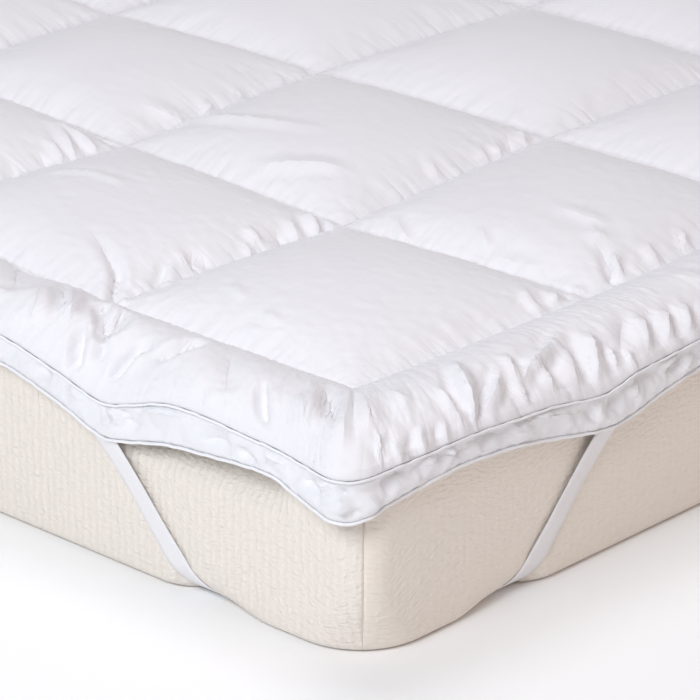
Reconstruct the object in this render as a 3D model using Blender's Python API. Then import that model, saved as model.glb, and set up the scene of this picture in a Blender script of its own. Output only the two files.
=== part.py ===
"""Box-quilted mattress topper, held by corner straps on a plain foam mattress.

Metres, +Z up. The origin is the centre of the mattress's flat underside, X runs
across the bed and Y along it. The front left corner (-X, -Y) is the one whose
uneven edge was read closely; the other three corners are finished plainly.
"""
import math

import bmesh
import bpy
from mathutils import Vector

MM = 0.001

# Mattress: a 140 x 200 cm bed
MATTRESS_WIDTH = 1.400
MATTRESS_LENGTH = 2.000
MATTRESS_HEIGHT = 0.175
MATTRESS_CORNER_RADIUS = 0.070
MATTRESS_TOP_EDGE_RADIUS = 0.022
MATTRESS_BASE_EDGE_RADIUS = 0.010
MATTRESS_SIDE_BULGE = 0.001
BASE_FLAT_INSET = 0.050
EDGE_ARC_STEPS = 3
CORNER_ARC_STEPS = 7
SIDE_LEVELS = ((0.0, 0.036), (0.7, 0.060), (1.0, 0.100))
# Where the mattress's section is worked out along each side, from either corner
SECTION_DISTANCES = (0.100, 0.128, 0.144, 0.153, 0.163, 0.176, 0.188, 0.200, 0.213, 0.228,
                     0.262, 0.340, 0.480)
# Plan radius of the upright corners by height: round at the base, crisp at mid height
CORNER_RADII = (
    (0.000, 0.070),
    (0.010, 0.066),
    (0.030, 0.046),
    (0.060, 0.032),
    (0.100, 0.032),
    (0.153, 0.050),
)
PINCH_STARTS = 0.154
PINCH_ONSET = 0.020
PINCH_PEAK = 0.181
PINCH_ENDS = 0.232
PINCH_FADE = 0.040

# Topper: quilted squares inside a plain padded border
SQUARE_SIDE = 0.300
SQUARES_ACROSS = 4
SQUARES_ALONG = 6
CELLS_PER_SQUARE = 8
SEAM_CROWDING = 0.45
SEWN_PLANE = 0.1875
SQUARE_CROWN = 0.027
CROWN_POWER = 0.58
BORDER_CROWN = 0.021
TOPPER_CORNER_RADIUS = 0.018
CORNER_ARC_STATIONS = 5
UNDERSIDE_CLEARANCE = 0.0006
UNDERSIDE_SHARE = 0.42
BORDER_SPREAD_POWER = 0.92
BORDER_FALL_POWER = 1.6
BORDER_OVERHANG = 0.001
FOLD_END_POWER = 0.7
PLAIN_RIPPLE = 0.0015
PLAIN_RIPPLE_RATE = 95.0

# Gusset strip, piping cords and straps
GUSSET_THICKNESS = 0.0012
GUSSET_GAP = 0.0005
GUSSET_UPPER_TRIM = 0.0011
GUSSET_LOWER_TRIM = 0.0020
GUSSET_BEVEL = 0.0004
HEM_THICKNESS = 0.0031
HEM_STANDOFF = 0.0045
PIPING_RADIUS = 0.0022
PIPING_SIDES = 5
UPPER_PIPING_PLACE = (0.0008, 0.0009)
LOWER_PIPING_PLACE = (0.0007, 0.0)
STRAP_WIDTH = 0.0227
STRAP_THICKNESS = 0.0012
STRAP_TOP_DISTANCE = 0.297
STRAP_SLOPE = 0.82
STRAP_GAP = 0.0005
STRAP_PINCH_RADIUS = 0.030
EDGE_PINCH_RADIUS = 0.0292
STRAP_LIFT = 0.0022
STRAP_CONTACT_RUN = 0.030
STRAP_STANDOFF = 0.0048
STRAP_LEAN_POWER = 1.3
STRAP_END_GAP = 0.0006
STRAP_RISE_SHARES = (0.25, 0.5, 0.75, 1.0)
STRAP_ARC_STEPS = 6
CHANNEL_MARGIN = 0.0012
CHANNEL_REACH = 0.012

# How far each quilt crossing lies off the even grid: (along, across, dx, dy) in mm.
# Crossings count squares from the front left corner of the quilted field.
CROSSING_OFFSETS = (
    (0, 0, 0, 5),
    (0, 1, -3, -6),
    (0, 2, -2, 6),
    (1, 0, -6, -3),
    (1, 1, -19, -18),
    (1, 2, -1, 4),
    (2, 0, 20, 12),
    (2, 1, 0, -10),
    (2, 2, -8, 8),
    (2, 3, 5, -3),
    (3, 1, 16, -4),
    (3, 2, -19, 7),
)
PLAIN_OFFSET = 5.0

# Heights of the two edge seams near a corner: (from_corner, upper_seam, lower_seam, overhang)
# in mm. The straps pull the edge down at about 295, and the corner droops.
LEFT_EDGE = (
    (0, 171, 134, 11),
    (63, 172, 142, 10),
    (91, 174, 149, 10),
    (123, 175, 149, 10),
    (170, 178, 145, 10),
    (219, 176, 140, 10),
    (266, 162, 129, 11),
    (295, 156, 125, 12),
    (350, 168, 141, 11),
    (430, 182, 157, 10),
    (540, 178, 150, 10),
    (700, 176, 148, 10),
)
FRONT_EDGE = (
    (0, 171, 134, 10),
    (36, 173, 144, 10),
    (97, 175, 152, 10),
    (136, 174, 151, 10),
    (179, 171, 147, 10),
    (224, 168, 139, 10),
    (279, 160, 129, 12),
    (303, 161, 127, 12),
    (329, 166, 129, 11),
    (370, 168, 137, 10),
    (425, 171, 145, 10),
    (540, 175, 149, 10),
    (700, 176, 148, 10),
)
PLAIN_EDGE = (
    (0, 170, 134, 11),
    (60, 172, 143, 10),
    (110, 175, 150, 10),
    (170, 175, 147, 10),
    (225, 171, 140, 10),
    (295, 158, 126, 12),
    (355, 169, 139, 11),
    (430, 176, 149, 10),
    (560, 176, 149, 10),
    (700, 176, 148, 10),
)

# The front left corner of the topper is pulled out to the left: (dx, dy) and its reach
CORNER_SHIFT = (-0.011, 0.006)
CORNER_SHIFT_REACH = 0.055

# Padded border, from the sewn line (0) to the upper seam (1): (across, rise)
BORDER_PROFILE = (
    (0.07, 0.50),
    (0.22, 0.84),
    (0.45, 1.00),
    (0.70, 0.92),
    (0.90, 0.62),
    (1.00, 0.36),
)

# Main folds of the border: (side, from_corner, width, depth) in mm, from the front left corner
BORDER_FOLDS = (
    ("left", 40, 22, -4),
    ("left", 92, 26, -5),
    ("left", 178, 30, -6),
    ("left", 250, 28, 5),
    ("left", 300, 24, -5),
    ("left", 352, 26, -10),
    ("left", 420, 30, 5),
    ("front", 30, 20, -5),
    ("front", 88, 22, -5),
    ("front", 135, 20, -8),
    ("front", 176, 24, 5),
    ("front", 214, 20, -7),
    ("front", 262, 22, 6),
    ("front", 300, 20, -8),
    ("front", 338, 20, 5),
    ("front", 372, 18, -8),
    ("front", 410, 20, 6),
    ("front", 448, 20, -6),
)

SIDES = ("front", "right", "back", "left")
CORNERS = ("front_left", "front_right", "back_right", "back_left")
COLOURS = {
    "mattress": (0.84, 0.79, 0.71, 1.0),
    "quilted_cloth": (0.91, 0.91, 0.94, 1.0),
    "gusset_cloth": (0.86, 0.87, 0.91, 1.0),
    "piping_cloth": (0.88, 0.87, 0.86, 1.0),
    "elastic": (0.80, 0.81, 0.84, 1.0),
}


def clear_scene():
    """Remove whatever the scene holds."""
    for item in list(bpy.data.objects):
        bpy.data.objects.remove(item, do_unlink=True)


def cloth_material(name, roughness):
    """A plain Principled material in the finish's colour."""
    material = bpy.data.materials.new(name)
    material.use_nodes = True
    shader = material.node_tree.nodes["Principled BSDF"]
    shader.inputs["Base Color"].default_value = COLOURS[name]
    shader.inputs["Roughness"].default_value = roughness
    shader.inputs["Metallic"].default_value = 0.0
    return material


def add_object(name, bm, material):
    """Turn a finished bmesh into a named, smooth-shaded object."""
    bmesh.ops.recalc_face_normals(bm, faces=bm.faces[:])
    mesh = bpy.data.meshes.new(name)
    bm.to_mesh(mesh)
    bm.free()
    mesh.materials.append(material)
    mesh.shade_smooth()
    item = bpy.data.objects.new(name, mesh)
    bpy.context.scene.collection.objects.link(item)
    return item


def smooth_row(table, key, column):
    """Value of one column at key, on a smooth curve through the table's rows."""
    if key <= table[0][0]:
        return table[0][column]
    if key >= table[-1][0]:
        return table[-1][column]
    index = max(i for i, row in enumerate(table) if row[0] <= key)
    here, after = table[index], table[index + 1]
    before = table[max(index - 1, 0)]
    beyond = table[min(index + 2, len(table) - 1)]
    span = after[0] - here[0]
    slope_here = (after[column] - before[column]) / max(after[0] - before[0], 1e-9)
    slope_after = (beyond[column] - here[column]) / max(beyond[0] - here[0], 1e-9)
    t = (key - here[0]) / span
    return ((2 * t**3 - 3 * t**2 + 1) * here[column] + (t**3 - 2 * t**2 + t) * span * slope_here
            + (3 * t**2 - 2 * t**3) * after[column] + (t**3 - t**2) * span * slope_after)


def uneven(first, second):
    """A repeatable value from -1 to 1 for a pair of counts."""
    value = math.sin(first * 12.9898 + second * 78.233 + 0.5) * 43758.5453
    return 2.0 * (value - math.floor(value)) - 1.0


def side_length(side):
    """Length of one side of the mattress."""
    return MATTRESS_WIDTH if side in ("front", "back") else MATTRESS_LENGTH


def side_frame(side):
    """Start corner, direction of travel and outward normal of one side, going round
    anticlockwise seen from above."""
    half_x, half_y = MATTRESS_WIDTH / 2, MATTRESS_LENGTH / 2
    return {
        "front": (Vector((-half_x, -half_y)), Vector((1, 0)), Vector((0, -1))),
        "right": (Vector((half_x, -half_y)), Vector((0, 1)), Vector((1, 0))),
        "back": (Vector((half_x, half_y)), Vector((-1, 0)), Vector((0, 1))),
        "left": (Vector((-half_x, half_y)), Vector((0, -1)), Vector((-1, 0))),
    }[side]


def arc_point(side, turn, radius):
    """Point and normal on the rounded corner at the end of a side; turn runs 0 to 1."""
    start, along, normal = side_frame(side)
    centre = start + along * (side_length(side) - radius) - normal * radius
    angle = turn * math.pi / 2
    outward = normal * math.cos(angle) + along * math.sin(angle)
    return centre + outward * radius, outward


class Station:
    """One place round an outline: its point, outward normal and how far it is from a corner."""

    def __init__(self, side, point, normal, from_corner, corner, arc=None):
        self.side = side
        self.arc = arc
        self.point = point
        self.normal = normal
        self.from_corner = from_corner
        self.corner = corner

    def place(self, outward, height):
        """The point that lies outward of this station at a height."""
        plan = self.point + self.normal * outward
        return Vector((plan.x, plan.y, height))


def straight_station(side, distance):
    """Station on the straight part of a side, distance metres from the side's start."""
    start, along, normal = side_frame(side)
    from_end = side_length(side) - distance
    corner = SIDES.index(side) if distance <= from_end else (SIDES.index(side) + 1) % 4
    return Station(side, start + along * distance, normal, min(distance, from_end), corner)


def arc_station(side, turn, radius):
    """Station on the rounded corner at the end of a side."""
    point, normal = arc_point(side, turn, radius)
    corner = (SIDES.index(side) + 1) % 4
    owner = side if turn < 0.5 else SIDES[corner]
    reach = abs(2 * turn - 1) * radius
    return Station(owner, point, normal, reach, corner, arc=(side, turn))


def ring_bands(bm, rings):
    """Skin the bands between neighbouring closed rings of vertices."""
    for inner, outer in zip(rings, rings[1:]):
        count = len(inner)
        for k in range(count):
            n = (k + 1) % count
            corners = [inner[k], outer[k], outer[n], inner[n]]
            unique = [v for i, v in enumerate(corners) if v not in corners[:i]]
            bm.faces.new(unique)


# Mattress ------------------------------------------------------------------------------

def pinch(from_corner):
    """How much the strap pinches the base edge, 0 to 1: sudden on the corner's side."""
    if from_corner < PINCH_PEAK:
        share = (from_corner - PINCH_STARTS) / PINCH_ONSET
    else:
        share = (PINCH_ENDS - from_corner) / PINCH_FADE
    share = min(max(share, 0.0), 1.0)
    return share * share * (3 - 2 * share)


def mattress_profile(from_corner):
    """(outward, height) points of the mattress's section, from the base to the top."""
    squeezed = pinch(from_corner)
    base = MATTRESS_BASE_EDGE_RADIUS * (1 - squeezed) + EDGE_PINCH_RADIUS * squeezed
    top = MATTRESS_TOP_EDGE_RADIUS
    angles = [step * math.pi / 2 / EDGE_ARC_STEPS for step in range(EDGE_ARC_STEPS + 1)]
    points = [(-BASE_FLAT_INSET, 0.0)]
    for angle in angles:
        points.append((-base * (1 - math.sin(angle)), base * (1 - math.cos(angle))))
    for bulge, height in SIDE_LEVELS:
        points.append((MATTRESS_SIDE_BULGE * bulge, height))
    for angle in angles:
        points.append((-top * (1 - math.cos(angle)), MATTRESS_HEIGHT - top * (1 - math.sin(angle))))
    return points


def mattress_stations():
    """Stations round the mattress, close together where the straps cross its edge."""
    near = (MATTRESS_CORNER_RADIUS,) + SECTION_DISTANCES
    stations = []
    for side in SIDES:
        length = side_length(side)
        distances = near + (length / 2,) + tuple(length - d for d in reversed(near))
        stations += [straight_station(side, d) for d in distances]
        stations += [arc_station(side, k / CORNER_ARC_STEPS, MATTRESS_CORNER_RADIUS)
                     for k in range(1, CORNER_ARC_STEPS)]
    return stations


def corner_radius(height):
    """Plan radius of the mattress's upright corner at a height."""
    return smooth_row(CORNER_RADII, height, 1)


def mattress_point(station, outward, height):
    """Point of the mattress's skin; on a corner, the arc's radius follows the height."""
    if station.arc is None:
        return station.place(outward, height)
    side, turn = station.arc
    point, normal = arc_point(side, turn, corner_radius(height))
    plan = point + normal * outward
    return Vector((plan.x, plan.y, height))


def build_mattress(material):
    """Soft block with rounded edges, pinched where the straps wrap under it."""
    bm = bmesh.new()
    stations = mattress_stations()
    profiles = [mattress_profile(s.from_corner) for s in stations]
    rings = []
    for level in range(len(profiles[0])):
        rings.append([bm.verts.new(mattress_point(station, *profile[level]))
                      for station, profile in zip(stations, profiles)])
    ring_bands(bm, rings)
    bm.faces.new(list(reversed(rings[0])))
    bm.faces.new(rings[-1])
    mattress = add_object("mattress", bm, material)
    cut_strap_channels(mattress, material)


def cut_strap_channels(mattress, material):
    """Press a channel for each strap into the mattress."""
    channels = bmesh.new()
    for corner in range(len(CORNERS)):
        strap_form(channels, corner, cutter=True)
    cutter = add_object("strap_channels", channels, material)
    cutter.hide_render = True
    cutter.display_type = "WIRE"
    cut = mattress.modifiers.new("strap_channels", "BOOLEAN")
    cut.operation = "DIFFERENCE"
    cut.solver = "EXACT"
    cut.object = cutter


# Topper --------------------------------------------------------------------------------

def crossing(along, across):
    """Plan position of one quilt crossing, off the even grid as the table says."""
    table = {row[:2]: row[2:] for row in CROSSING_OFFSETS}
    plain = (PLAIN_OFFSET * uneven(along, across), PLAIN_OFFSET * uneven(across + 9, along))
    dx, dy = table.get((along, across), plain)
    x = (across - SQUARES_ACROSS / 2) * SQUARE_SIDE
    y = (along - SQUARES_ALONG / 2) * SQUARE_SIDE
    return Vector((x + dx * MM, y + dy * MM))


def crowded(share):
    """Spread of the cells in a square: closer together beside its seams."""
    return share - SEAM_CROWDING * math.sin(2 * math.pi * share) / (2 * math.pi)


def field_point(row, column):
    """Point of the quilted field's grid: squares crowned between their sewn lines."""
    along = min(row // CELLS_PER_SQUARE, SQUARES_ALONG - 1)
    across = min(column // CELLS_PER_SQUARE, SQUARES_ACROSS - 1)
    p = crowded(row / CELLS_PER_SQUARE - along)
    q = crowded(column / CELLS_PER_SQUARE - across)
    near = crossing(along, across).lerp(crossing(along, across + 1), q)
    far = crossing(along + 1, across).lerp(crossing(along + 1, across + 1), q)
    plan = near.lerp(far, p)
    swell = max(math.sin(math.pi * p) * math.sin(math.pi * q), 0.0) ** CROWN_POWER
    crown = SQUARE_CROWN * (1 + 0.10 * uneven(along + 3, across + 5))
    return Vector((plan.x, plan.y, SEWN_PLANE + crown * swell))


def corner_pull(point):
    """The shift of the outline near the front left corner."""
    start = side_frame("front")[0]
    share = math.exp(-((point - start).length / CORNER_SHIFT_REACH) ** 2)
    return Vector(CORNER_SHIFT) * share


def edge_heights(station):
    """Heights of the upper and lower seams and the overhang at a station, in metres."""
    table = PLAIN_EDGE
    if station.corner == 0:
        table = FRONT_EDGE if station.side == "front" else LEFT_EDGE
    key = station.from_corner / MM
    return tuple(smooth_row(table, key, column) * MM for column in (1, 2, 3))


def topper_stations(field):
    """Stations round the topper, each with the vertex of the quilted field that it faces."""
    last_row, last_column = len(field) - 1, len(field[0]) - 1
    facing = {
        "front": [field[0][c] for c in range(last_column + 1)],
        "right": [field[r][last_column] for r in range(last_row + 1)],
        "back": [field[last_row][c] for c in range(last_column, -1, -1)],
        "left": [field[r][0] for r in range(last_row, -1, -1)],
    }
    stations = []
    for side in SIDES:
        inner = facing[side]
        cells = len(inner) - 1
        run = side_length(side) - 2 * TOPPER_CORNER_RADIUS
        for k, vertex in enumerate(inner):
            squares = k / CELLS_PER_SQUARE
            whole = min(math.floor(squares), cells // CELLS_PER_SQUARE - 1)
            share = (whole + crowded(squares - whole)) * CELLS_PER_SQUARE / cells
            station = straight_station(side, TOPPER_CORNER_RADIUS + share * run)
            stations.append((station, vertex))
        for k in range(1, CORNER_ARC_STATIONS):
            turn = k / CORNER_ARC_STATIONS
            stations.append((arc_station(side, turn, TOPPER_CORNER_RADIUS), inner[-1]))
    for station, _ in stations:
        station.point = station.point + corner_pull(station.point)
    return stations


def border_fold(station):
    """Rise or fall of the border where a main fold runs across it."""
    if station.corner != 0:
        return PLAIN_RIPPLE * math.sin(station.from_corner * PLAIN_RIPPLE_RATE + station.corner)
    total = 0.0
    for side, from_corner, width, depth in BORDER_FOLDS:
        if side == station.side:
            reach = (station.from_corner / MM - from_corner) / width
            total += depth * MM * math.exp(-reach * reach)
    return total


def border_points(station, inner):
    """Points of the padded border from the sewn line to just above the upper seam."""
    upper, _, overhang = edge_heights(station)
    start = Vector((inner.co.x, inner.co.y))
    end = station.point + station.normal * (overhang + BORDER_OVERHANG)
    fold = border_fold(station)
    points = []
    for across, rise in BORDER_PROFILE:
        plan = start.lerp(end, across ** BORDER_SPREAD_POWER)
        base = SEWN_PLANE + (upper + 2 * BORDER_OVERHANG - SEWN_PLANE) * across ** BORDER_FALL_POWER
        swell = rise * BORDER_CROWN + fold * max(math.sin(math.pi * across), 0.0) ** FOLD_END_POWER
        points.append(Vector((plan.x, plan.y, base + swell)))
    return points


def underside_points(station):
    """Points of the body inside the gusset, round its hem and under it to the flat base."""
    upper, lower, overhang = edge_heights(station)
    wall = overhang - GUSSET_THICKNESS - GUSSET_GAP
    hem = wall - HEM_THICKNESS
    top = MATTRESS_HEIGHT
    shoulder = -MATTRESS_TOP_EDGE_RADIUS if station.arc is None else 0.002 - TOPPER_CORNER_RADIUS
    return [
        station.place(wall, upper + 0.0025),
        station.place(wall - 0.0004, lower + 0.0028),
        station.place(hem, lower + 0.0014),
        station.place(min(hem, HEM_STANDOFF), max(top - 0.018, lower + 0.006)),
        station.place(-HEM_STANDOFF, top - 0.0020),
        station.place(shoulder, top + 0.0028),
    ]


def build_topper_body(material):
    """The filled topper: crowned squares, padded border, drooping hem and flat underside.

    Gives back the stations round it, which the gusset and the piping follow.
    """
    bm = bmesh.new()
    rows = SQUARES_ALONG * CELLS_PER_SQUARE
    columns = SQUARES_ACROSS * CELLS_PER_SQUARE
    field = [[bm.verts.new(field_point(r, c)) for c in range(columns + 1)] for r in range(rows + 1)]
    for r in range(rows):
        for c in range(columns):
            bm.faces.new((field[r][c], field[r][c + 1], field[r + 1][c + 1], field[r + 1][c]))
    stations = topper_stations(field)
    rings = [[vertex for _, vertex in stations]]
    columns_out = [border_points(s, v) + underside_points(s) for s, v in stations]
    for level in range(len(columns_out[0])):
        rings.append([bm.verts.new(column[level]) for column in columns_out])
    base_height = MATTRESS_HEIGHT + UNDERSIDE_CLEARANCE
    deepest = []
    for station, vertex in stations:
        inner = Vector((vertex.co.x, vertex.co.y))
        plan = inner.lerp(station.point, UNDERSIDE_SHARE)
        deepest.append(bm.verts.new((plan.x, plan.y, base_height)))
    rings.append(deepest)
    ring_bands(bm, rings)
    bm.faces.new(list(reversed(deepest)))
    add_object("topper_body", bm, material)
    return [station for station, _ in stations]


def build_gusset(stations, material):
    """The boxing strip between the two rows of piping."""
    bm = bmesh.new()
    corners = []
    for station in stations:
        upper, lower, overhang = edge_heights(station)
        inner = overhang - GUSSET_THICKNESS
        corners.append((
            station.place(overhang, upper - GUSSET_UPPER_TRIM),
            station.place(overhang, lower + GUSSET_LOWER_TRIM),
            station.place(inner, lower + GUSSET_LOWER_TRIM + GUSSET_BEVEL),
            station.place(inner, upper - GUSSET_UPPER_TRIM),
        ))
    rings = [[bm.verts.new(section[k]) for section in corners] for k in range(4)]
    ring_bands(bm, rings + [rings[0]])
    add_object("gusset", bm, material)


def build_piping(name, stations, seam, place, material):
    """A thin cord sewn all round the edge, along the upper (0) or lower (1) seam.

    Its place says how far its middle lies outside and above the seam.
    """
    outward, lift = place
    bm = bmesh.new()
    rings = []
    for side in range(PIPING_SIDES):
        angle = -2 * math.pi * side / PIPING_SIDES
        ring = []
        for station in stations:
            heights = edge_heights(station)
            reach = heights[2] + outward + PIPING_RADIUS * math.cos(angle)
            height = heights[seam] + lift + PIPING_RADIUS * math.sin(angle)
            ring.append(bm.verts.new(station.place(reach, height)))
        rings.append(ring)
    ring_bands(bm, rings + [rings[0]])
    add_object(name, bm, material)


# Straps --------------------------------------------------------------------------------

def strap_section(climb, standoff_span, skin):
    """(outward, height) of one skin of the strap after it has climbed from the base.

    The climb is measured along the strap's flat pattern, from where it leaves the base.
    The strap follows the pinched edge, then leaves the side and reaches the hem.
    """
    radius = STRAP_PINCH_RADIUS
    quarter = radius * math.pi / 2
    if climb <= quarter:
        angle = climb / radius
        outward = -radius + (radius + skin) * math.sin(angle)
        return outward, STRAP_LIFT + radius - (radius + skin) * math.cos(angle)
    risen = climb - quarter
    free = max(risen - STRAP_CONTACT_RUN, 0.0) / (standoff_span - STRAP_CONTACT_RUN)
    lean = MATTRESS_SIDE_BULGE * min(risen / STRAP_CONTACT_RUN, 1.0)
    lean += STRAP_STANDOFF * free ** STRAP_LEAN_POWER
    return lean + skin, STRAP_LIFT + radius + risen


def strap_limb(rows, along_y, corner, inner_skin, outer_skin, half_width):
    """Sections of the strap from the base of one side up to the hem, four points each."""
    half_x, half_y = MATTRESS_WIDTH / 2, MATTRESS_LENGTH / 2
    sign_x = -1 if corner in (0, 3) else 1
    sign_y = -1 if corner in (0, 1) else 1
    slant = half_width * math.hypot(1, STRAP_SLOPE)
    quarter = STRAP_PINCH_RADIUS * math.pi / 2
    end_height = smooth_row(rows, STRAP_TOP_DISTANCE / MM, 2) * MM + STRAP_END_GAP
    straight = end_height - STRAP_PINCH_RADIUS - STRAP_LIFT
    climbs = [quarter * k / STRAP_ARC_STEPS for k in range(STRAP_ARC_STEPS + 1)]
    climbs += [quarter + share * straight for share in STRAP_RISE_SHARES]
    sections = []
    for climb in climbs:
        centre = STRAP_TOP_DISTANCE - STRAP_SLOPE * (quarter + straight - climb)
        section = []
        for skin, edge in ((inner_skin, -1), (inner_skin, 1), (outer_skin, 1), (outer_skin, -1)):
            outward, height = strap_section(climb, straight, skin)
            inset = centre + edge * slant
            x = half_x + outward if along_y else half_x - inset
            y = half_y - inset if along_y else half_y + outward
            section.append(Vector((sign_x * x, sign_y * y, height)))
        sections.append(section)
    return sections


def strap_form(bm, corner, cutter=False):
    """Add one flat strap: down one side, under the corner and up the other side.

    With cutter set, it is the wider, thicker form that presses a channel into the mattress.
    """
    half_width = STRAP_WIDTH / 2 + (CHANNEL_MARGIN if cutter else 0.0)
    inner_skin = 0.0 if cutter else STRAP_GAP
    outer_skin = CHANNEL_REACH if cutter else STRAP_GAP + STRAP_THICKNESS
    skins = (corner, inner_skin, outer_skin, half_width)
    left_limb = strap_limb(LEFT_EDGE if corner == 0 else PLAIN_EDGE, True, *skins)
    front_limb = strap_limb(FRONT_EDGE if corner == 0 else PLAIN_EDGE, False, *skins)
    sections = [[bm.verts.new(point) for point in section]
                for section in list(reversed(left_limb)) + front_limb]
    for first, second in zip(sections, sections[1:]):
        for k in range(4):
            n = (k + 1) % 4
            bm.faces.new((first[k], first[n], second[n], second[k]))
    bm.faces.new(sections[0])
    bm.faces.new(list(reversed(sections[-1])))


def main():
    """Build every piece."""
    clear_scene()
    mattress_cover = cloth_material("mattress", 0.85)
    quilted = cloth_material("quilted_cloth", 0.60)
    strip = cloth_material("gusset_cloth", 0.65)
    cord = cloth_material("piping_cloth", 0.60)
    elastic = cloth_material("elastic", 0.70)
    build_mattress(mattress_cover)
    stations = build_topper_body(quilted)
    build_gusset(stations, strip)
    build_piping("piping_upper", stations, 0, UPPER_PIPING_PLACE, cord)
    build_piping("piping_lower", stations, 1, LOWER_PIPING_PLACE, cord)
    for index, corner in enumerate(CORNERS):
        bm = bmesh.new()
        strap_form(bm, index)
        add_object("strap_" + corner, bm, elastic)


main()
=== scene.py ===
"""The looks of a box-quilted mattress topper that is strapped on a plain foam mattress.

Metres, +Z up, in the CAD's own frame: the origin is the centre of the mattress's flat
underside, X runs across the bed and Y along it. The front left corner (-X, -Y) is the one
that the picture shows; the other three corners are finished in the same way.
"""

import logging
import math
from dataclasses import dataclass, field
from enum import Enum
from typing import Any, Iterator, Sequence

import bmesh
import bpy
import numpy as np
from bpy.types import Material, NodeSocket, NodeTree, Object
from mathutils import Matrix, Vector


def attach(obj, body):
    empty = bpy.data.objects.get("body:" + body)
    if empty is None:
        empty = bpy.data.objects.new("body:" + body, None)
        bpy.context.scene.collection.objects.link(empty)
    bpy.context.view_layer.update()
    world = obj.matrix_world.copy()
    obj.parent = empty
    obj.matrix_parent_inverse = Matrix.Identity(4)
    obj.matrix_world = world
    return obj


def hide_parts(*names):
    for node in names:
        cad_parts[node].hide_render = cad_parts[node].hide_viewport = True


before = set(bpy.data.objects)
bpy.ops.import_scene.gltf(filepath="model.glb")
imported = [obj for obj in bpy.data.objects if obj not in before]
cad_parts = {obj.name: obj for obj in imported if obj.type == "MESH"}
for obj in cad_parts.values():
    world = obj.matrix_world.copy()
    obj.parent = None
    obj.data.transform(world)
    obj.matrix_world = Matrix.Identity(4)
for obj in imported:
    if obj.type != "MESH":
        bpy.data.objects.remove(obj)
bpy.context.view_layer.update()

Array = np.ndarray
Pair = tuple[float, float]
Triple = tuple[float, float, float]
FoldRow = Sequence[float]
Faces = Sequence[Sequence[int]]
Skin = tuple[list[list[int]], list[Pair]]  # faces, and the map place of each of their corners

LOG = logging.getLogger("mattress_topper")
MM = 0.001
STRAP_WIDTH = 0.0227

# Places and sizes that the CAD has too --------------------------------------------------

# How far each quilt crossing lies off the even grid: (along, across, dx, dy) in mm.
# Crossings count squares from the front left corner of the quilted field.
CROSSING_OFFSETS = (
    (0, 0, 0, 5), (0, 1, -3, -6), (0, 2, -2, 6), (1, 0, -6, -3), (1, 1, -19, -18), (1, 2, -1, 4),
    (2, 0, 20, 12), (2, 1, 0, -10), (2, 2, -8, 8), (2, 3, 5, -3), (3, 1, 16, -4), (3, 2, -19, 7),
)

# The two edge seams near a corner: (from_corner, upper_seam, lower_seam, overhang) in mm
LEFT_EDGE = (
    (0, 171, 134, 11), (63, 172, 142, 10), (91, 174, 149, 10), (123, 175, 149, 10),
    (170, 178, 145, 10), (219, 176, 140, 10), (266, 162, 129, 11), (295, 156, 125, 12),
    (350, 168, 141, 11), (430, 182, 157, 10), (540, 178, 150, 10), (700, 176, 148, 10),
)
FRONT_EDGE = (
    (0, 171, 134, 10), (36, 173, 144, 10), (97, 175, 152, 10), (136, 174, 151, 10),
    (179, 171, 147, 10), (224, 168, 139, 10), (279, 160, 129, 12), (303, 161, 127, 12),
    (329, 166, 129, 11), (370, 168, 137, 10), (425, 171, 145, 10), (540, 175, 149, 10),
    (700, 176, 148, 10),
)
PLAIN_EDGE = (
    (0, 170, 134, 11), (60, 172, 143, 10), (110, 175, 150, 10), (170, 175, 147, 10),
    (225, 171, 140, 10), (295, 158, 126, 12), (355, 169, 139, 11), (430, 176, 149, 10),
    (560, 176, 149, 10), (700, 176, 148, 10),
)

# Padded border from the sewn line (0) to the upper seam (1): (across, rise)
BORDER_PROFILE = (
    (0.00, 0.00), (0.02, 0.22), (0.07, 0.44), (0.22, 0.74),
    (0.45, 0.94), (0.70, 0.93), (0.90, 0.66), (1.00, 0.36),
)

# Plan radius of the mattress's upright corners: (height, radius) in metres
CORNER_RADII = (
    (0.000, 0.070), (0.010, 0.066), (0.030, 0.046),
    (0.060, 0.032), (0.100, 0.032), (0.153, 0.050),
)


class Side(Enum):
    """The four sides of the bed, in the order in which the edge is followed."""

    FRONT = 0
    RIGHT = 1
    BACK = 2
    LEFT = 3


class Limb(Enum):
    """The two halves of a corner strap, by the side of the mattress that each climbs."""

    ON_X_SIDE = "x"
    ON_Y_SIDE = "y"


@dataclass(frozen=True)
class Bed:
    """Sizes that the mattress, the topper and the straps share."""

    width: float = 1.400
    length: float = 2.000
    height: float = 0.175
    square: float = 0.300
    border: float = 0.100
    squares_across: int = 4
    squares_along: int = 6
    sewn_plane: float = 0.1875
    topper_corner_radius: float = 0.018
    mattress_corner_radius: float = 0.070
    corner_shift: Pair = (-0.011, 0.006)
    corner_shift_reach: float = 0.055

    def side_length(self, side: Side) -> float:
        """Length of one side of the mattress."""
        return self.width if side in (Side.FRONT, Side.BACK) else self.length

    def side_frame(self, side: Side) -> tuple[Array, Array, Array]:
        """Start corner, direction of travel and outward normal of a side, in plan."""
        x, y = self.width / 2, self.length / 2
        start, along, normal = {
            Side.FRONT: ((-x, -y), (1, 0), (0, -1)),
            Side.RIGHT: ((x, -y), (0, 1), (1, 0)),
            Side.BACK: ((x, y), (-1, 0), (0, 1)),
            Side.LEFT: ((-x, y), (0, -1), (-1, 0)),
        }[side]
        return np.array(start, float), np.array(along, float), np.array(normal, float)


BED = Bed()


# Small helpers --------------------------------------------------------------------------


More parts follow.
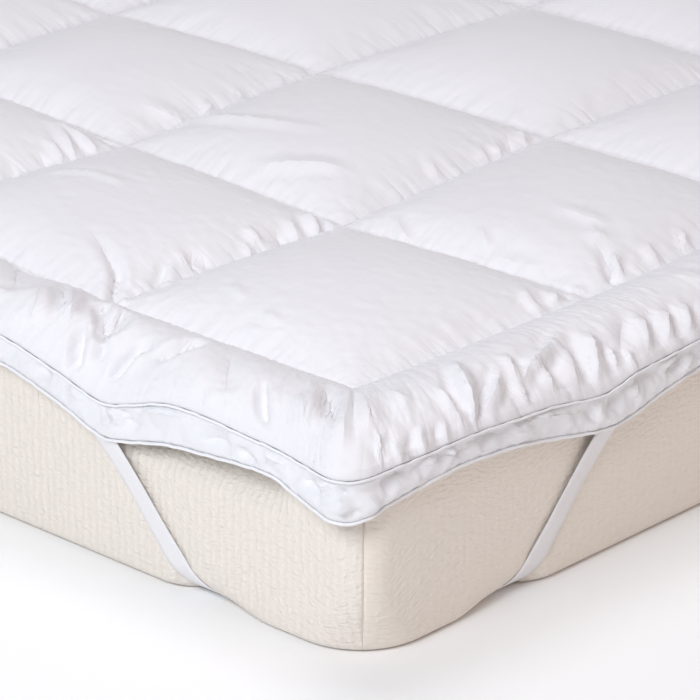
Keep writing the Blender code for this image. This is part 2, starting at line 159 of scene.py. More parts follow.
def linear(hex_colour: str) -> tuple[float, float, float, float]:
    """Turn an sRGB hex colour to the linear values that a shader takes.

    Args:
        hex_colour: Colour such as "#EFEBE4".

    Returns:
        Red, green, blue and alpha, from 0 to 1.
    """
    parts = [int(hex_colour[i:i + 2], 16) / 255 for i in (1, 3, 5)]
    red, green, blue = (c / 12.92 if c <= 0.04045 else ((c + 0.055) / 1.055) ** 2.4 for c in parts)
    return red, green, blue, 1.0


def smooth_rows(table: Sequence[Sequence[float]], keys: Array, column: int) -> Array:
    """Values of one column of a table, on a smooth curve through its rows.

    Args:
        table: Rows in rising order of their first number.
        keys: Where the values are wanted.
        column: Which number of a row.

    Returns:
        One value for each key.
    """
    spots = np.array([row[0] for row in table], float)
    values = np.array([row[column] for row in table], float)
    slopes = np.empty_like(values)
    slopes[1:-1] = (values[2:] - values[:-2]) / (spots[2:] - spots[:-2])
    slopes[0] = (values[1] - values[0]) / (spots[1] - spots[0])
    slopes[-1] = (values[-1] - values[-2]) / (spots[-1] - spots[-2])
    held = np.clip(keys, spots[0], spots[-1])
    index = np.clip(np.searchsorted(spots, held, side="right") - 1, 0, len(spots) - 2)
    span = spots[index + 1] - spots[index]
    t = (held - spots[index]) / span
    return ((2 * t**3 - 3 * t**2 + 1) * values[index]
            + (t**3 - 2 * t**2 + t) * span * slopes[index]
            + (3 * t**2 - 2 * t**3) * values[index + 1]
            + (t**3 - t**2) * span * slopes[index + 1])


def smooth_step(share: Array) -> Array:
    """Rise smoothly from 0 to 1 as the share does."""
    held = np.clip(share, 0.0, 1.0)
    return held * held * (3 - 2 * held)


def uneven(first: float, second: float) -> float:
    """A repeatable value from -1 to 1 for a pair of counts."""
    value = math.sin(first * 12.9898 + second * 78.233 + 0.5) * 43758.5453
    return 2.0 * (value - math.floor(value)) - 1.0


def ripple(keys: Array, wavelength: float, seed: float) -> Array:
    """An uneven wave, from about -1 to 1, of waves that don't repeat together.

    Args:
        keys: Where it is wanted, in metres.
        wavelength: Mean length of a wave, in metres.
        seed: Shifts the wave, so that two pieces differ.

    Returns:
        One value for each key.
    """
    turns = 2 * math.pi * keys / wavelength
    return (0.5 * np.sin(turns + seed) + 0.3 * np.sin(1.618 * turns + 2.1 * seed)
            + 0.2 * np.sin(2.414 * turns + 4.3 * seed))


def crowded(share: Array, amount: float = 0.28) -> Array:
    """Spread the cells of a square so that they are closer together beside its seams."""
    return share - amount * np.sin(2 * math.pi * share) / (2 * math.pi)


def smoothed(values: Array, rounds: int, axis: int = 0) -> Array:
    """Even out values round a closed ring, each with its two neighbours.

    Args:
        values: The values, with the ring's stations along one axis.
        rounds: How many times they are evened.
        axis: The axis that runs round the ring.

    Returns:
        The smoother values.
    """
    for _ in range(rounds):
        values = (np.roll(values, 1, axis) + 2 * values + np.roll(values, -1, axis)) / 4
    return values


def ring_faces(rings: Array, run: Array, reach: Array, flip: bool = False) -> Skin:
    """Skin the bands between neighbouring closed rings of points.

    Args:
        rings: Point numbers, one ring a row.
        run: Distance round the ring for the weave's map: one longer than a ring, or for each
            ring the distance at both ends of each of its steps.
        reach: Distance across the bands at each ring, or at each ring and place, one longer
            than a ring.
        flip: Whether the faces point the other way.

    Returns:
        The faces and the map place of each of their corners.
    """
    faces: list[list[int]] = []
    places: list[Pair] = []
    count = rings.shape[1]
    if run.ndim == 1:
        run = np.broadcast_to(np.column_stack([run[:-1], run[1:]]), (len(rings), count, 2))
    if reach.ndim == 1:
        reach = np.broadcast_to(reach[:, None], (len(rings), count + 1))
    for inner, outer, start, end, near, far in zip(rings, rings[1:], run, run[1:], reach, reach[1:]):
        for k in range(count):
            n = (k + 1) % count
            corners = [(inner[k], start[k, 0], near[k]), (outer[k], end[k, 0], far[k]),
                       (outer[n], end[k, 1], far[k + 1]), (inner[n], start[k, 1], near[k + 1])]
            if inner[k] == inner[n]:
                corners.pop()
            if flip:
                corners.reverse()
            faces.append([int(c[0]) for c in corners])
            places.extend((float(c[1]), float(c[2])) for c in corners)
    return faces, places


def cap_faces(ring: Array, centre: int) -> Skin:
    """Triangles, and their map places, that close a ring of points onto one at its middle."""
    faces = [[int(start), centre, int(end)] for start, end in zip(ring, np.roll(ring, -1))]
    return faces, [(0.0, 0.0), (MM, 0.0), (0.0, MM)] * len(faces)


def closed_run(points: Array) -> Array:
    """Distance travelled round a closed ring of points, one longer than the ring."""
    steps = np.linalg.norm(np.roll(points, -1, axis=0) - points, axis=1)
    return np.concatenate([[0.0], np.cumsum(steps)])


def make_piece(name: str, points: Array, faces: Faces, places: Sequence[Pair] | None = None) -> Object:
    """Make a smooth-shaded object at the origin, with its weave's map.

    Args:
        name: Name of the piece.
        points: Its points, one a row.
        faces: Point numbers of each face.
        places: Map place of each corner of each face, in metres.

    Returns:
        The new object.
    """
    mesh = bpy.data.meshes.new(name)
    mesh.from_pydata(points.tolist(), [], faces)
    if places is not None:
        weave = mesh.uv_layers.new(name="weave")
        weave.data.foreach_set("uv", np.array(places, np.float32).ravel())
    mesh.validate()
    mesh.shade_smooth()
    item = bpy.data.objects.new(name, mesh)
    bpy.context.scene.collection.objects.link(item)
    return item


def keep_values(item: Object, **values: Array) -> None:
    """Store one number a point under each name, for the finish to read."""
    for name, numbers in values.items():
        layer = item.data.attributes.new(name, "FLOAT", "POINT")
        layer.data.foreach_set("value", numbers.astype(np.float32))


def sheet_normals(points: Array, faces: Faces) -> Array:
    """Outward direction of a sheet at each of its points."""
    sheet = make_piece("sheet_normals", points, faces)
    found = np.empty(len(points) * 3, np.float32)
    sheet.data.vertices.foreach_get("normal", found)
    bpy.data.objects.remove(sheet, do_unlink=True)
    return found.reshape(-1, 3).astype(float)


def face_outwards(item: Object) -> None:
    """Turn every face of a closed piece outwards."""
    bm = bmesh.new()
    bm.from_mesh(item.data)
    bmesh.ops.recalc_face_normals(bm, faces=bm.faces[:])
    bm.to_mesh(item.data)
    bm.free()


def hand_over(item: Object, material: Material, slot: str, *nodes: str) -> None:
    """Dress a finished piece and let it stand for its CAD nodes.

    Args:
        item: The piece.
        material: Its finish.
        slot: Name of a material slot; not used.
        nodes: The CAD nodes that it replaces, if any.
    """
    item.data.materials.append(material)
    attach(item, "root")
    if nodes:
        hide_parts(*nodes)
    LOG.info("%s: %d faces", item.name, len(item.data.polygons))


@dataclass(frozen=True)
class Settling:
    """How a sheet of cloth is let settle over its filling."""

    frames: int = 20
    pressure: float = 4.0
    least_growth: float = 0.004
    most_growth: float = 0.050
    point_mass: float = 0.3
    bending: float = 0.03
    tension: float = 15.0
    damping: float = 2.0
    steps_a_frame: int = 4
    farthest: float = 0.018

    def run(self, points: Array, faces: Faces, sewn: Array, looseness: Array) -> Array:
        """Blow the sheet up gently where it isn't sewn down, so that it puckers at its seams.

        Args:
            points: The sheet's points.
            faces: Its faces.
            sewn: Which points are sewn down.
            looseness: From 0 to 1, how much spare cloth there is.

        Returns:
            The settled points.
        """
        sheet = make_piece("settling_sheet", points, faces)
        held = sheet.vertex_groups.new(name="sewn")
        held.add(np.flatnonzero(sewn).tolist(), 1.0, "REPLACE")
        spare = sheet.vertex_groups.new(name="spare")
        # a group takes one weight for many points, so the looseness goes in by hundredths
        for level in np.unique(np.round(looseness, 2)):
            chosen = np.flatnonzero(np.abs(looseness - level) < 0.0051).tolist()
            spare.add(chosen, float(level), "REPLACE")
        modifier = sheet.modifiers.new("settling", "CLOTH")
        cloth = modifier.settings
        cloth.vertex_group_mass = held.name
        cloth.vertex_group_shrink = spare.name
        cloth.shrink_min, cloth.shrink_max = -self.least_growth, -self.most_growth
        cloth.quality, cloth.mass = self.steps_a_frame, self.point_mass
        cloth.air_damping = self.damping
        cloth.tension_stiffness = cloth.compression_stiffness = self.tension
        cloth.shear_stiffness, cloth.bending_stiffness = self.tension / 3, self.bending
        cloth.use_pressure, cloth.uniform_pressure_force = True, self.pressure
        cloth.effector_weights.gravity = 0.0
        modifier.collision_settings.use_collision = False
        modifier.collision_settings.use_self_collision = False
        scene = bpy.context.scene
        scene.frame_start = modifier.point_cache.frame_start = 1
        scene.frame_end = modifier.point_cache.frame_end = self.frames
        for number in range(1, self.frames + 1):
            scene.frame_set(number)
        bpy.ops.object.select_all(action="DESELECT")
        bpy.context.view_layer.objects.active = sheet
        sheet.select_set(True)
        bpy.ops.object.modifier_apply(modifier=modifier.name)
        settled = np.empty(len(points) * 3)
        sheet.data.vertices.foreach_get("co", settled)
        bpy.data.objects.remove(sheet, do_unlink=True)
        scene.frame_set(1)
        moved = settled.reshape(-1, 3) - points
        length = np.linalg.norm(moved, axis=1, keepdims=True)
        capped = self.farthest * np.tanh(length / self.farthest)
        return points + moved * capped / np.maximum(length, 1e-9)


# Folds of the cloth ---------------------------------------------------------------------

# The main folds near the front left corner, placed as the picture shows them. A row is
# (width, depth, step, deepest, along, across, along, across, ...): the fold's half width, the
# height of its ridge (below 0, the depth of its valley) and how far its left lip stands over
# its right one, all in mm; the share of its path at which it is strongest; and the points that
# it follows. Border and gusset: mm from the corner, and per cent of the way from the sewn line
# to the upper seam or from that to the lower one. Squares: thousandths of a square along and
# across from the field's corner.
BORDER_FOLDS = {
    Side.FRONT: (
        (6, 5, 0, 0.6, 144, 33, 132, 65, 126, 96), (4.5, -2.5, 0, 0.6, 132, 38, 122, 64, 117, 91),
        (3.5, 2.6, 0, 0.6, 96, 58, 103, 76, 110, 96),
        (3.6, -5.5, -1.2, 0.15, 130, 100, 143, 85, 161, 72, 177, 68, 211, 40),
        (3.8, 3.8, 0, 0.5, 136, 100, 149, 89, 168, 78, 211, 44),
        (4, 3, 0, 0.5, 206, 53, 198, 68, 190, 85), (4.5, -3, 0, 0.6, 188, 73, 183, 83, 185, 89),
        (3.6, 4.2, -0.8, 0.5, 298, 41, 256, 62, 228, 69, 182, 90),
        (3.5, -2.6, 0, 0.5, 296, 36, 258, 56, 248, 56), (3.4, -3.2, 1, 0.4, 201, 86, 198, 95, 199, 100),
        (3.2, 2.6, 0, 0.5, 198, 85, 194, 95, 196, 100), (4, 3.2, 0, 0.5, 235, 71, 230, 85, 227, 99),
        (4, -2.8, 0, 0.5, 246, 69, 238, 84, 235, 97), (3.8, -4.2, 1, 0.5, 290, 64, 278, 82, 271, 99),
        (5, 2.6, 0, 0.5, 285, 61, 263, 85, 258, 98), (5.5, 4.8, 0, 0.5, 315, 60, 299, 79, 282, 99),
        (4, -3, 0, 0.5, 322, 69, 313, 80, 304, 91), (3.4, 3, 0, 0.5, 320, 79, 317, 87, 310, 98),
        (3.6, -3.6, 0, 0.4, 355, 66, 336, 81, 327, 90, 322, 99),
        (3.6, 2.6, 0, 0.5, 335, 88, 329, 97, 335, 100), (5, 3.4, 0, 0.5, 379, 70, 364, 83, 350, 100),
        (4, -3.2, 0, 0.5, 388, 73, 375, 85, 361, 100), (5, 3, 0, 0.5, 405, 74, 393, 85, 377, 100),
        (3.6, -4.2, 1, 0.5, 403, 84, 397, 91, 393, 100), (4.5, 3.4, 0, 0.5, 431, 75, 416, 89, 408, 100),
        (3.8, -3.4, 0, 0.5, 445, 74, 430, 87, 421, 98), (2.6, -2.4, 0.8, 0.8, 49, 92, 51, 96, 52, 100),
        (2.6, -2.4, -0.6, 0.8, 61, 89, 58, 94, 59, 100), (2.6, -3, 0.8, 0.8, 82, 88, 80, 95, 79, 100),
        (2.8, 2, 0, 0.8, 69, 88, 63, 94, 64, 100), (2.6, 1.8, 0, 0.8, 92, 88, 90, 95, 89, 100),
        (3, 1.8, 0, 0.8, 42, 89, 38, 95, 41, 100), (2.8, -2.6, 0.8, 0.7, 27, 81, 26, 91, 27, 99),
        (2.8, -1.8, 0, 0.7, 19, 83, 19, 93, 22, 100), (3.2, 2, 0, 0.7, 24, 77, 25, 86, 27, 95),
        (5, -1.2, 0, 0.2, 1, 34, 3, 55, 4, 78, 6, 94), (8, 2.2, 0, 0.4, 21, 39, 19, 60, 14, 76),
        (6, 2, 0, 0.4, 50, 43, 57, 57, 68, 65), (3, -3, 0, 0.8, 119, 81, 120, 91, 122, 98),
        (3, -1.8, 0, 0.5, 238, 95, 248, 96, 258, 94), (4, -2.4, 0, 0.5, 172, 96, 184, 100, 200, 100),
    ),
    Side.LEFT: (
        (8, 1.8, 0, 0.4, 13, 38, 7, 65, 5, 89), (4, 3.9, 0, 0.5, 427, 15, 387, 49, 368, 69),
        (4, -3, 0, 0.4, 436, 16, 400, 46, 385, 61),
        (3.4, -5.4, 1.8, 0.5, 356, 55, 345, 77, 336, 90, 329, 98),
        (3.4, -5.1, 1.5, 0.3, 370, 28, 359, 38, 331, 63, 326, 73),
        (5.5, -8.2, 0, 0.4, 338, 55, 337, 48, 356, 17), (3, -2.7, 0, 0.2, 323, 74, 319, 80, 315, 86),
        (3.2, -4.5, 1.8, 0.5, 275, 55, 288, 63, 291, 80, 290, 94),
        (4.5, -4.5, 0, 0.3, 236, 38, 253, 59, 265, 69), (4, -2.4, 0, 0.3, 253, 37, 253, 49, 261, 62),
        (4, -4.2, 1.8, 0.5, 118, 57, 112, 77, 100, 96), (10, -2.4, 0, 0.3, 183, 41, 164, 71, 157, 87),
        (14, -3.6, 0, 0.4, 514, 0, 469, 43, 450, 71), (10, 3.3, 0, 0.5, 443, 36, 410, 69, 398, 88),
        (7, -3.3, 0, 0.3, 40, 32, 28, 50, 14, 71), (9, 2.4, 0, 0.5, 74, 51, 61, 68, 47, 84),
    ),
}
SQUARE_CREASES = (
    (3.2, -5, -1.6, 0.15, 1012, 30, 1055, 74, 1115, 138, 1175, 169, 1309, 230, 1376, 270),
    (2.8, -3, 1.2, 0.1, 1005, 217, 1044, 279, 1102, 351),
    (2.8, 2, 0, 0.1, 978, 208, 1034, 291, 1088, 355),
    (3, -2.4, 0.8, 0.05, 1015, 368, 1055, 403, 1093, 439),
    (3, 2.2, 0, 0.2, 1019, 364, 1058, 372, 1103, 382),
    (2.6, -2, 0.8, 0.05, 1014, 418, 1033, 433, 1065, 451),
    (2.6, 2.4, 0.6, 0.2, 1008, 599, 1031, 609, 1058, 628),
    (3.4, 2.4, -0.8, 0.4, 1021, 668, 1063, 675, 1121, 698),
    (3, -2.4, 0.6, 0.1, 1009, 739, 1036, 753, 1079, 778),
    (3.2, 2.6, 0, 0.3, 1010, 806, 1050, 828, 1107, 863),
    (3.6, 3.2, -0.8, 0.3, 1013, 901, 1065, 927, 1138, 965),
    (2.8, -2.8, 0, 0.1, 1013, 932, 1072, 969, 1138, 1010),
    (2.6, 1.8, 0, 0.1, 1012, 953, 1051, 980, 1104, 1011),
    (3, 1.8, -0.8, 0.1, 975, 45, 1034, 84, 1072, 123),
    (2.8, 1.6, -0.8, 0.5, 737, 252, 674, 206, 618, 174),
    (2.8, 1.6, -0.8, 0.5, 513, 160, 468, 139, 413, 120),
    (2.8, 1.2, -0.4, 0.5, 499, 72, 471, 68, 437, 63), (3.2, 2.4, -1, 0.2, 28, 803, 74, 811, 159, 871),
    (3, 2, -0.8, 0.1, 46, 893, 87, 930), (3, -1.8, 0.8, 0.1, 45, 949, 94, 974),
    (3, 1.6, 0, 0.1, 63, 1010, 96, 1033), (3.2, 4, -1, 0.25, 46, 1192, 126, 1248),
    (3.4, -4.2, 0, 0.15, 32, 1140, 77, 1187, 136, 1221, 207, 1255), (3, -2, 0, 0.1, 36, 1208, 80, 1235),
    (3, 2.2, -0.8, 0.3, 25, 1348, 63, 1366, 101, 1384), (3.2, 3.4, -1.2, 0.15, 29, 1499, 92, 1553),
    (3, -2.4, 0, 0.1, 32, 1482, 89, 1524), (3, 1.8, -0.8, 0.3, 749, 1016, 808, 1054, 871, 1102),
    (3, 1.4, -0.6, 0.4, 463, 1065, 507, 1102, 548, 1145),
    (4, 1.3, 0, 0.4, 395, 1042, 317, 1043, 237, 1065),
    (5, 1.5, -0.8, 0.4, 416, 1355, 294, 1352, 222, 1372),
    (5, 1.6, -0.8, 0.5, 157, 1282, 216, 1305, 274, 1318),
    (5, 2.6, 0, 0.1, 1960, 1268, 1812, 1292, 1658, 1331, 1533, 1365, 1370, 1407),
    (5, 2.4, 0, 0.4, 1453, 1093, 1363, 1157, 1259, 1213, 1178, 1231),
    (6, 2, -0.8, 0.8, 2172, 1203, 2113, 1233, 2056, 1253, 2008, 1283),
    (3.4, 3, -1, 0.3, 2023, 784, 2119, 837, 2211, 876),
    (3.6, 2.4, -0.8, 0.3, 2023, 877, 2104, 894, 2200, 884, 2263, 817),
    (3, 2.6, -0.8, 0.2, 2019, 728, 2071, 749, 2125, 763),
    (2.8, -2.2, 0.8, 0.1, 2010, 653, 2043, 667, 2081, 680),
    (2.8, -1.8, 0.6, 0.1, 1924, 461, 2030, 529, 2070, 540),
    (3.2, -2, 0, 0.2, 2033, 962, 2091, 962, 2144, 948),
    (4, 1.4, -0.6, 0.3, 1574, 578, 1711, 574, 1794, 520, 1852, 442),
    (3.2, 2.6, -0.8, 0.2, 1905, 1341, 2018, 1439, 2052, 1445),
    (3, 2, -0.6, 0.1, 1919, 1506, 2020, 1602, 2049, 1609),
    (2.8, -2.2, 0, 0.1, 2019, 1965, 2075, 2013, 2116, 2034),
    (2.8, 1.6, -0.5, 0.1, 2005, 1808, 2036, 1827, 2075, 1847),
    (2.8, 2, -0.6, 0.1, 1012, 1768, 1042, 1788, 1080, 1813),
    (2.8, -1.8, 0.6, 0.1, 1014, 1830, 1051, 1860, 1095, 1892),
    (2.8, 1.8, -0.6, 0.1, 1017, 1703, 1048, 1719, 1081, 1733),
    (2.8, 2, 0, 0.1, 1018, 1901, 1058, 1935, 1108, 1975),
    (2.8, 1.6, -0.6, 0.1, 1031, 1477, 1059, 1495, 1087, 1511),
)
GUSSET_FOLDS = {
    Side.FRONT: (
        (5, -2.2, 0, 0.5, 22, 24, 36, 24, 51, 21), (5, 2.2, 0, 0.5, 60, 23, 72, 28, 89, 16),
        (3.4, 2.4, 0, 0.5, 98, 13, 93, 37), (4, -1.8, 0, 0.5, 87, 5, 82, 24, 78, 38),
        (5, -2.2, 0, 0.5, 123, 35, 136, 28, 152, 13),
        (6, 2.6, 0, 0.6, 154, 52, 173, 44, 191, 25, 207, 8), (5, 2.2, 0, 0.3, 212, 11, 233, 23, 259, 42),
        (3, -2.2, 0, 0.5, 270, 25, 271, 48, 271, 75), (3.4, 1.6, 0, 0.5, 286, 9, 280, 35, 277, 58),
        (3.4, -2, 0, 0.5, 305, 6, 302, 27, 295, 55), (4.5, 2.6, 0, 0.5, 336, 13, 331, 34, 325, 58),
        (4, -2.4, 0, 0.4, 352, 2, 340, 14, 322, 27), (4, 2.4, 0, 0.4, 398, 2, 380, 18, 361, 28),
        (3.2, -2.6, 0, 0.5, 401, 5, 386, 30, 369, 51), (4, 2, 0, 0.5, 415, 32, 402, 49, 387, 69),
        (3.2, -2.4, 0, 0.5, 1, 58, 3, 74, 1, 90), (4, 1.8, 0, 0.5, 11, 30, 14, 60, 17, 85),
        (4, -3, 0, 0.5, 172, 4, 188, 6, 208, 3),
    ),
    Side.LEFT: (
        (4, 4.2, -1.5, 0.5, 9, 39, 1, 41, 6, 56), (4, -3.9, 0, 0.5, 8, 27, 0, 24, 6, 36),
        (4, 3.3, 0, 0.5, 6, 79, 3, 64, 0, 54), (4, -3.3, 0, 0.5, 55, 38, 37, 36, 22, 34),
        (4, 2.7, 0, 0.5, 37, 19, 22, 14, 12, 14), (3.4, 3, 0, 0.5, 274, 16, 281, 53),
        (3.4, -3, 0, 0.5, 280, 17, 284, 48), (3.4, -2.1, 0, 0.5, 268, 9, 272, 33),
        (5, -2.4, 0, 0.4, 269, 38, 260, 50, 246, 49), (5, 2.7, 0, 0.4, 237, 16, 216, 18, 189, 11),
        (5, -2.7, 0, 0.4, 170, 57, 156, 51, 139, 51), (4, -3, 1.5, 0.5, 135, 42, 123, 56, 107, 70),
        (5, 2.4, 0, 0.5, 104, 24, 90, 25, 72, 24), (5, -2.1, 0, 0.5, 373, 5, 368, 26, 356, 38),
        (5, 1.8, 0, 0.5, 335, 4, 327, 20, 317, 28), (4, 2.7, 0, 0.4, 286, 4, 284, 30, 288, 70),
    ),
}


@dataclass(frozen=True)
class FoldShape:
    """How the cloth rises and falls beside a fold's line; distances are in half widths."""

    crest: float = 0.60
    crest_power: float = 1.25
    shoulder: float = 0.50
    shoulder_reach: float = 2.3
    ridge_trough: float = 0.28
    valley_lip: float = 0.16
    lip_place: float = 3.6
    lip_reach: float = 1.3
    spots_a_leg: int = 9
    line_reach: float = 0.0048  # how far from its sharp line the depth is still kept, in metres

    def bed(self, distance: Array, is_ridge: bool) -> Array:
        """Height for a depth of 1, at each distance from the line."""
        lip = self.ridge_trough if is_ridge else self.valley_lip
        return (self.crest * np.exp(-distance ** self.crest_power)
                + self.shoulder * np.exp(-(distance / self.shoulder_reach) ** 2)
                - lip * np.exp(-((distance - self.lip_place) / self.lip_reach) ** 2))

    def relief(self, places: Array, path: Array, row: FoldRow) -> tuple[Array, Array, Array]:
        """Rise of the cloth at each place beside one fold, and where its sharp line runs.

        Args:
            places: Places on the cloth in metres, one a row.
            path: Points that the fold follows, in metres.
            row: The fold's row in its table.

        Returns:
            The rise, the distance to the left of the line and the line's depth, for each place.
        """
        width, depth, step = (value * MM for value in row[:3])
        deepest = row[3]
        knots = np.column_stack([np.arange(len(path)), path])
        spots = np.linspace(0, len(path) - 1, self.spots_a_leg * (len(path) - 1) + 1)
        line = np.column_stack([smooth_rows(knots, spots, 1), smooth_rows(knots, spots, 2)])
        ahead = np.gradient(line, axis=0)
        ahead /= np.linalg.norm(ahead, axis=1, keepdims=True)
        away = places[:, None] - line[None]
        reach = np.linalg.norm(away, axis=2)
        nearest = reach.argmin(axis=1)
        rows = np.arange(len(places))
        off, tangent = away[rows, nearest], ahead[nearest]
        aside = (tangent[:, 0] * off[:, 1] - tangent[:, 1] * off[:, 0]) / width
        distance = reach[rows, nearest] / width
        share = nearest / (len(line) - 1)
        fade = 1 - smooth_step(np.abs(share - deepest) / max(deepest, 1 - deepest)) ** 2
        rise = fade * (depth * self.bed(distance, depth > 0) + step * aside * np.exp(1 - distance))
        off_line = np.copysign(reach[rows, nearest], aside)
        return rise, off_line, fade * depth * np.exp(-(off_line / self.line_reach) ** 2)

    def effects(self, rows: Sequence[FoldRow], places: Array, parts: Pair, scale: Pair) -> Array:
        """What all the folds of a table do to the cloth at each place.

        Args:
            rows: Rows of a table of folds.
            places: Places on the cloth in metres, one a row.
            parts: Into how many parts a path's two numbers divide each unit.
            scale: The two units in metres.

        Returns:
            For each place its rise, and the nearest sharp line's distance and depth there.
        """
        total = np.zeros((len(places), 3))
        total[:, 1] = 4 * self.line_reach
        for row in rows:
            path = np.reshape(row[4:], (-1, 2)) / parts * scale
            middle = (path.min(axis=0) + path.max(axis=0)) / 2
            reach = np.linalg.norm(path - middle, axis=1).max() + 7 * row[0] * MM
            near = np.flatnonzero(np.linalg.norm(places - middle, axis=1) < reach)
            rise, off_line, depth = self.relief(places[near], path, row)
            total[near, 0] += rise
            closer = np.abs(off_line) < np.abs(total[near, 1])
            total[near[closer], 1:] = np.column_stack([off_line, depth])[closer]
        return total


@dataclass(frozen=True)
class FurtherFolds:
    """Folds laid by rule on the stretches of the edge that the picture doesn't show."""

    spacing: float
    size: float
    first: float = 0.035
    past_the_seen: float = 0.475
    width: Pair = (5.0, 1.6)
    depth: Pair = (5.0, 2.5)
    starts: Pair = (40.0, 25.0)
    middles: Pair = (70.0, 12.0)
    end: float = 97.0
    leans: Pair = (26.0, 9.0)
    deepest: float = 0.6

    def rows(self, side: Side, corner: int) -> list[FoldRow]:
        """Rows like those of a table of folds, for half a side.

        Args:
            side: The side of the bed.
            corner: The corner from which the stretch is measured.

        Returns:
            A ridge and a valley in turn, from the corner to the middle of the side.
        """
        seen = corner == 0 and side in (Side.FRONT, Side.LEFT)
        spot, end = self.past_the_seen if seen else self.first, BED.side_length(side) / 2
        rows: list[FoldRow] = []
        while spot < end:
            count = len(rows) + 11 * side.value + 29 * corner
            lean, top, wide, deep = (uneven(count, seed) for seed in (1, 2, 3, 4))
            width, depth, start, middle = (
                mean + swing * share
                for (mean, swing), share in ((self.width, wide), (self.depth, deep),
                                             (self.starts, top), (self.middles, top)))
            depth = self.size * depth * (-1 if len(rows) % 2 else 1)
            rows.append((width, depth, 0.8 * self.size * lean, self.deepest,
                         spot / MM + self.leans[0] * lean, start,
                         spot / MM + self.leans[1] * lean, middle, spot / MM, self.end))
            spot += self.spacing * (1 + 0.4 * wide)
        return rows


FOLD_SHAPE = FoldShape()


# The quilt's grid and the edge's run ----------------------------------------------------


@dataclass
class QuiltGrid:
    """Grid of the quilted field, finer in the squares that the picture shows."""

    cells_along: tuple[int, ...] = (72, 60, 36, 24, 22, 22)
    cells_across: tuple[int, ...] = (72, 60, 36, 24)
    plain_offset: float = 5.0
    lines_along: Array = field(init=False)
    lines_across: Array = field(init=False)

    def __post_init__(self) -> None:
        """Work out the grid lines, in squares from the front left corner."""
        self.lines_along = self.lines(self.cells_along)
        self.lines_across = self.lines(self.cells_across)

    @staticmethod
    def lines(cells: Sequence[int]) -> Array:
        """Grid lines over a row of squares, crowded beside each seam."""
        found = [np.zeros(1)]
        for index, count in enumerate(cells):
            found.append(index + crowded(np.arange(1, count + 1) / count))
        return np.round(np.concatenate(found), 9)

    def crossings(self) -> Array:
        """Plan places of the quilt crossings, off the even grid as the table says."""
        known = {row[:2]: row[2:] for row in CROSSING_OFFSETS}
        places = np.empty((BED.squares_along + 1, BED.squares_across + 1, 2))
        for along in range(BED.squares_along + 1):
            for across in range(BED.squares_across + 1):
                plain = (self.plain_offset * uneven(along, across),
                         self.plain_offset * uneven(across + 9, along))
                dx, dy = known.get((along, across), plain)
                places[along, across] = (
                    (across - BED.squares_across / 2) * BED.square + dx * MM,
                    (along - BED.squares_along / 2) * BED.square + dy * MM)
        return places

    def plan(self, along: Array, across: Array) -> Array:
        """Plan places of points given in squares.

        Args:
            along: Squares from the front edge of the field.
            across: Squares from its left edge.

        Returns:
            One (x, y) for each point.
        """
        corner = self.crossings()
        row = np.clip(np.floor(along).astype(int), 0, BED.squares_along - 1)
        column = np.clip(np.floor(across).astype(int), 0, BED.squares_across - 1)
        p, q = (along - row)[..., None], (across - column)[..., None]
        near = corner[row, column] * (1 - q) + corner[row, column + 1] * q
        far = corner[row + 1, column] * (1 - q) + corner[row + 1, column + 1] * q
        return near * (1 - p) + far * p

    def mesh(self) -> tuple[Array, Array]:
        """Squares along and across of every grid point, as two grids."""
        return np.meshgrid(self.lines_along, self.lines_across, indexing="ij")

    def to_seams(self) -> tuple[Array, Array]:
        """How far each grid point lies from a seam that runs across and one that runs along."""
        along, across = (np.abs(grid - np.round(grid)).ravel() for grid in self.mesh())
        return along * BED.square, across * BED.square

    def facing(self, side: Side) -> Array:
        """Numbers of the grid points along one side, in the order of travel."""
        rows, columns = len(self.lines_along), len(self.lines_across)
        number = np.arange(rows * columns).reshape(rows, columns)
        return {Side.FRONT: number[0], Side.RIGHT: number[:, -1],
                Side.BACK: number[-1, ::-1], Side.LEFT: number[::-1, 0]}[side]

    def side_lines(self, side: Side) -> Array:
        """Grid lines along one side, in squares, in the order of travel."""
        return {Side.FRONT: self.lines_across, Side.RIGHT: self.lines_along,
                Side.BACK: BED.squares_across - self.lines_across[::-1],
                Side.LEFT: BED.squares_along - self.lines_along[::-1]}[side]


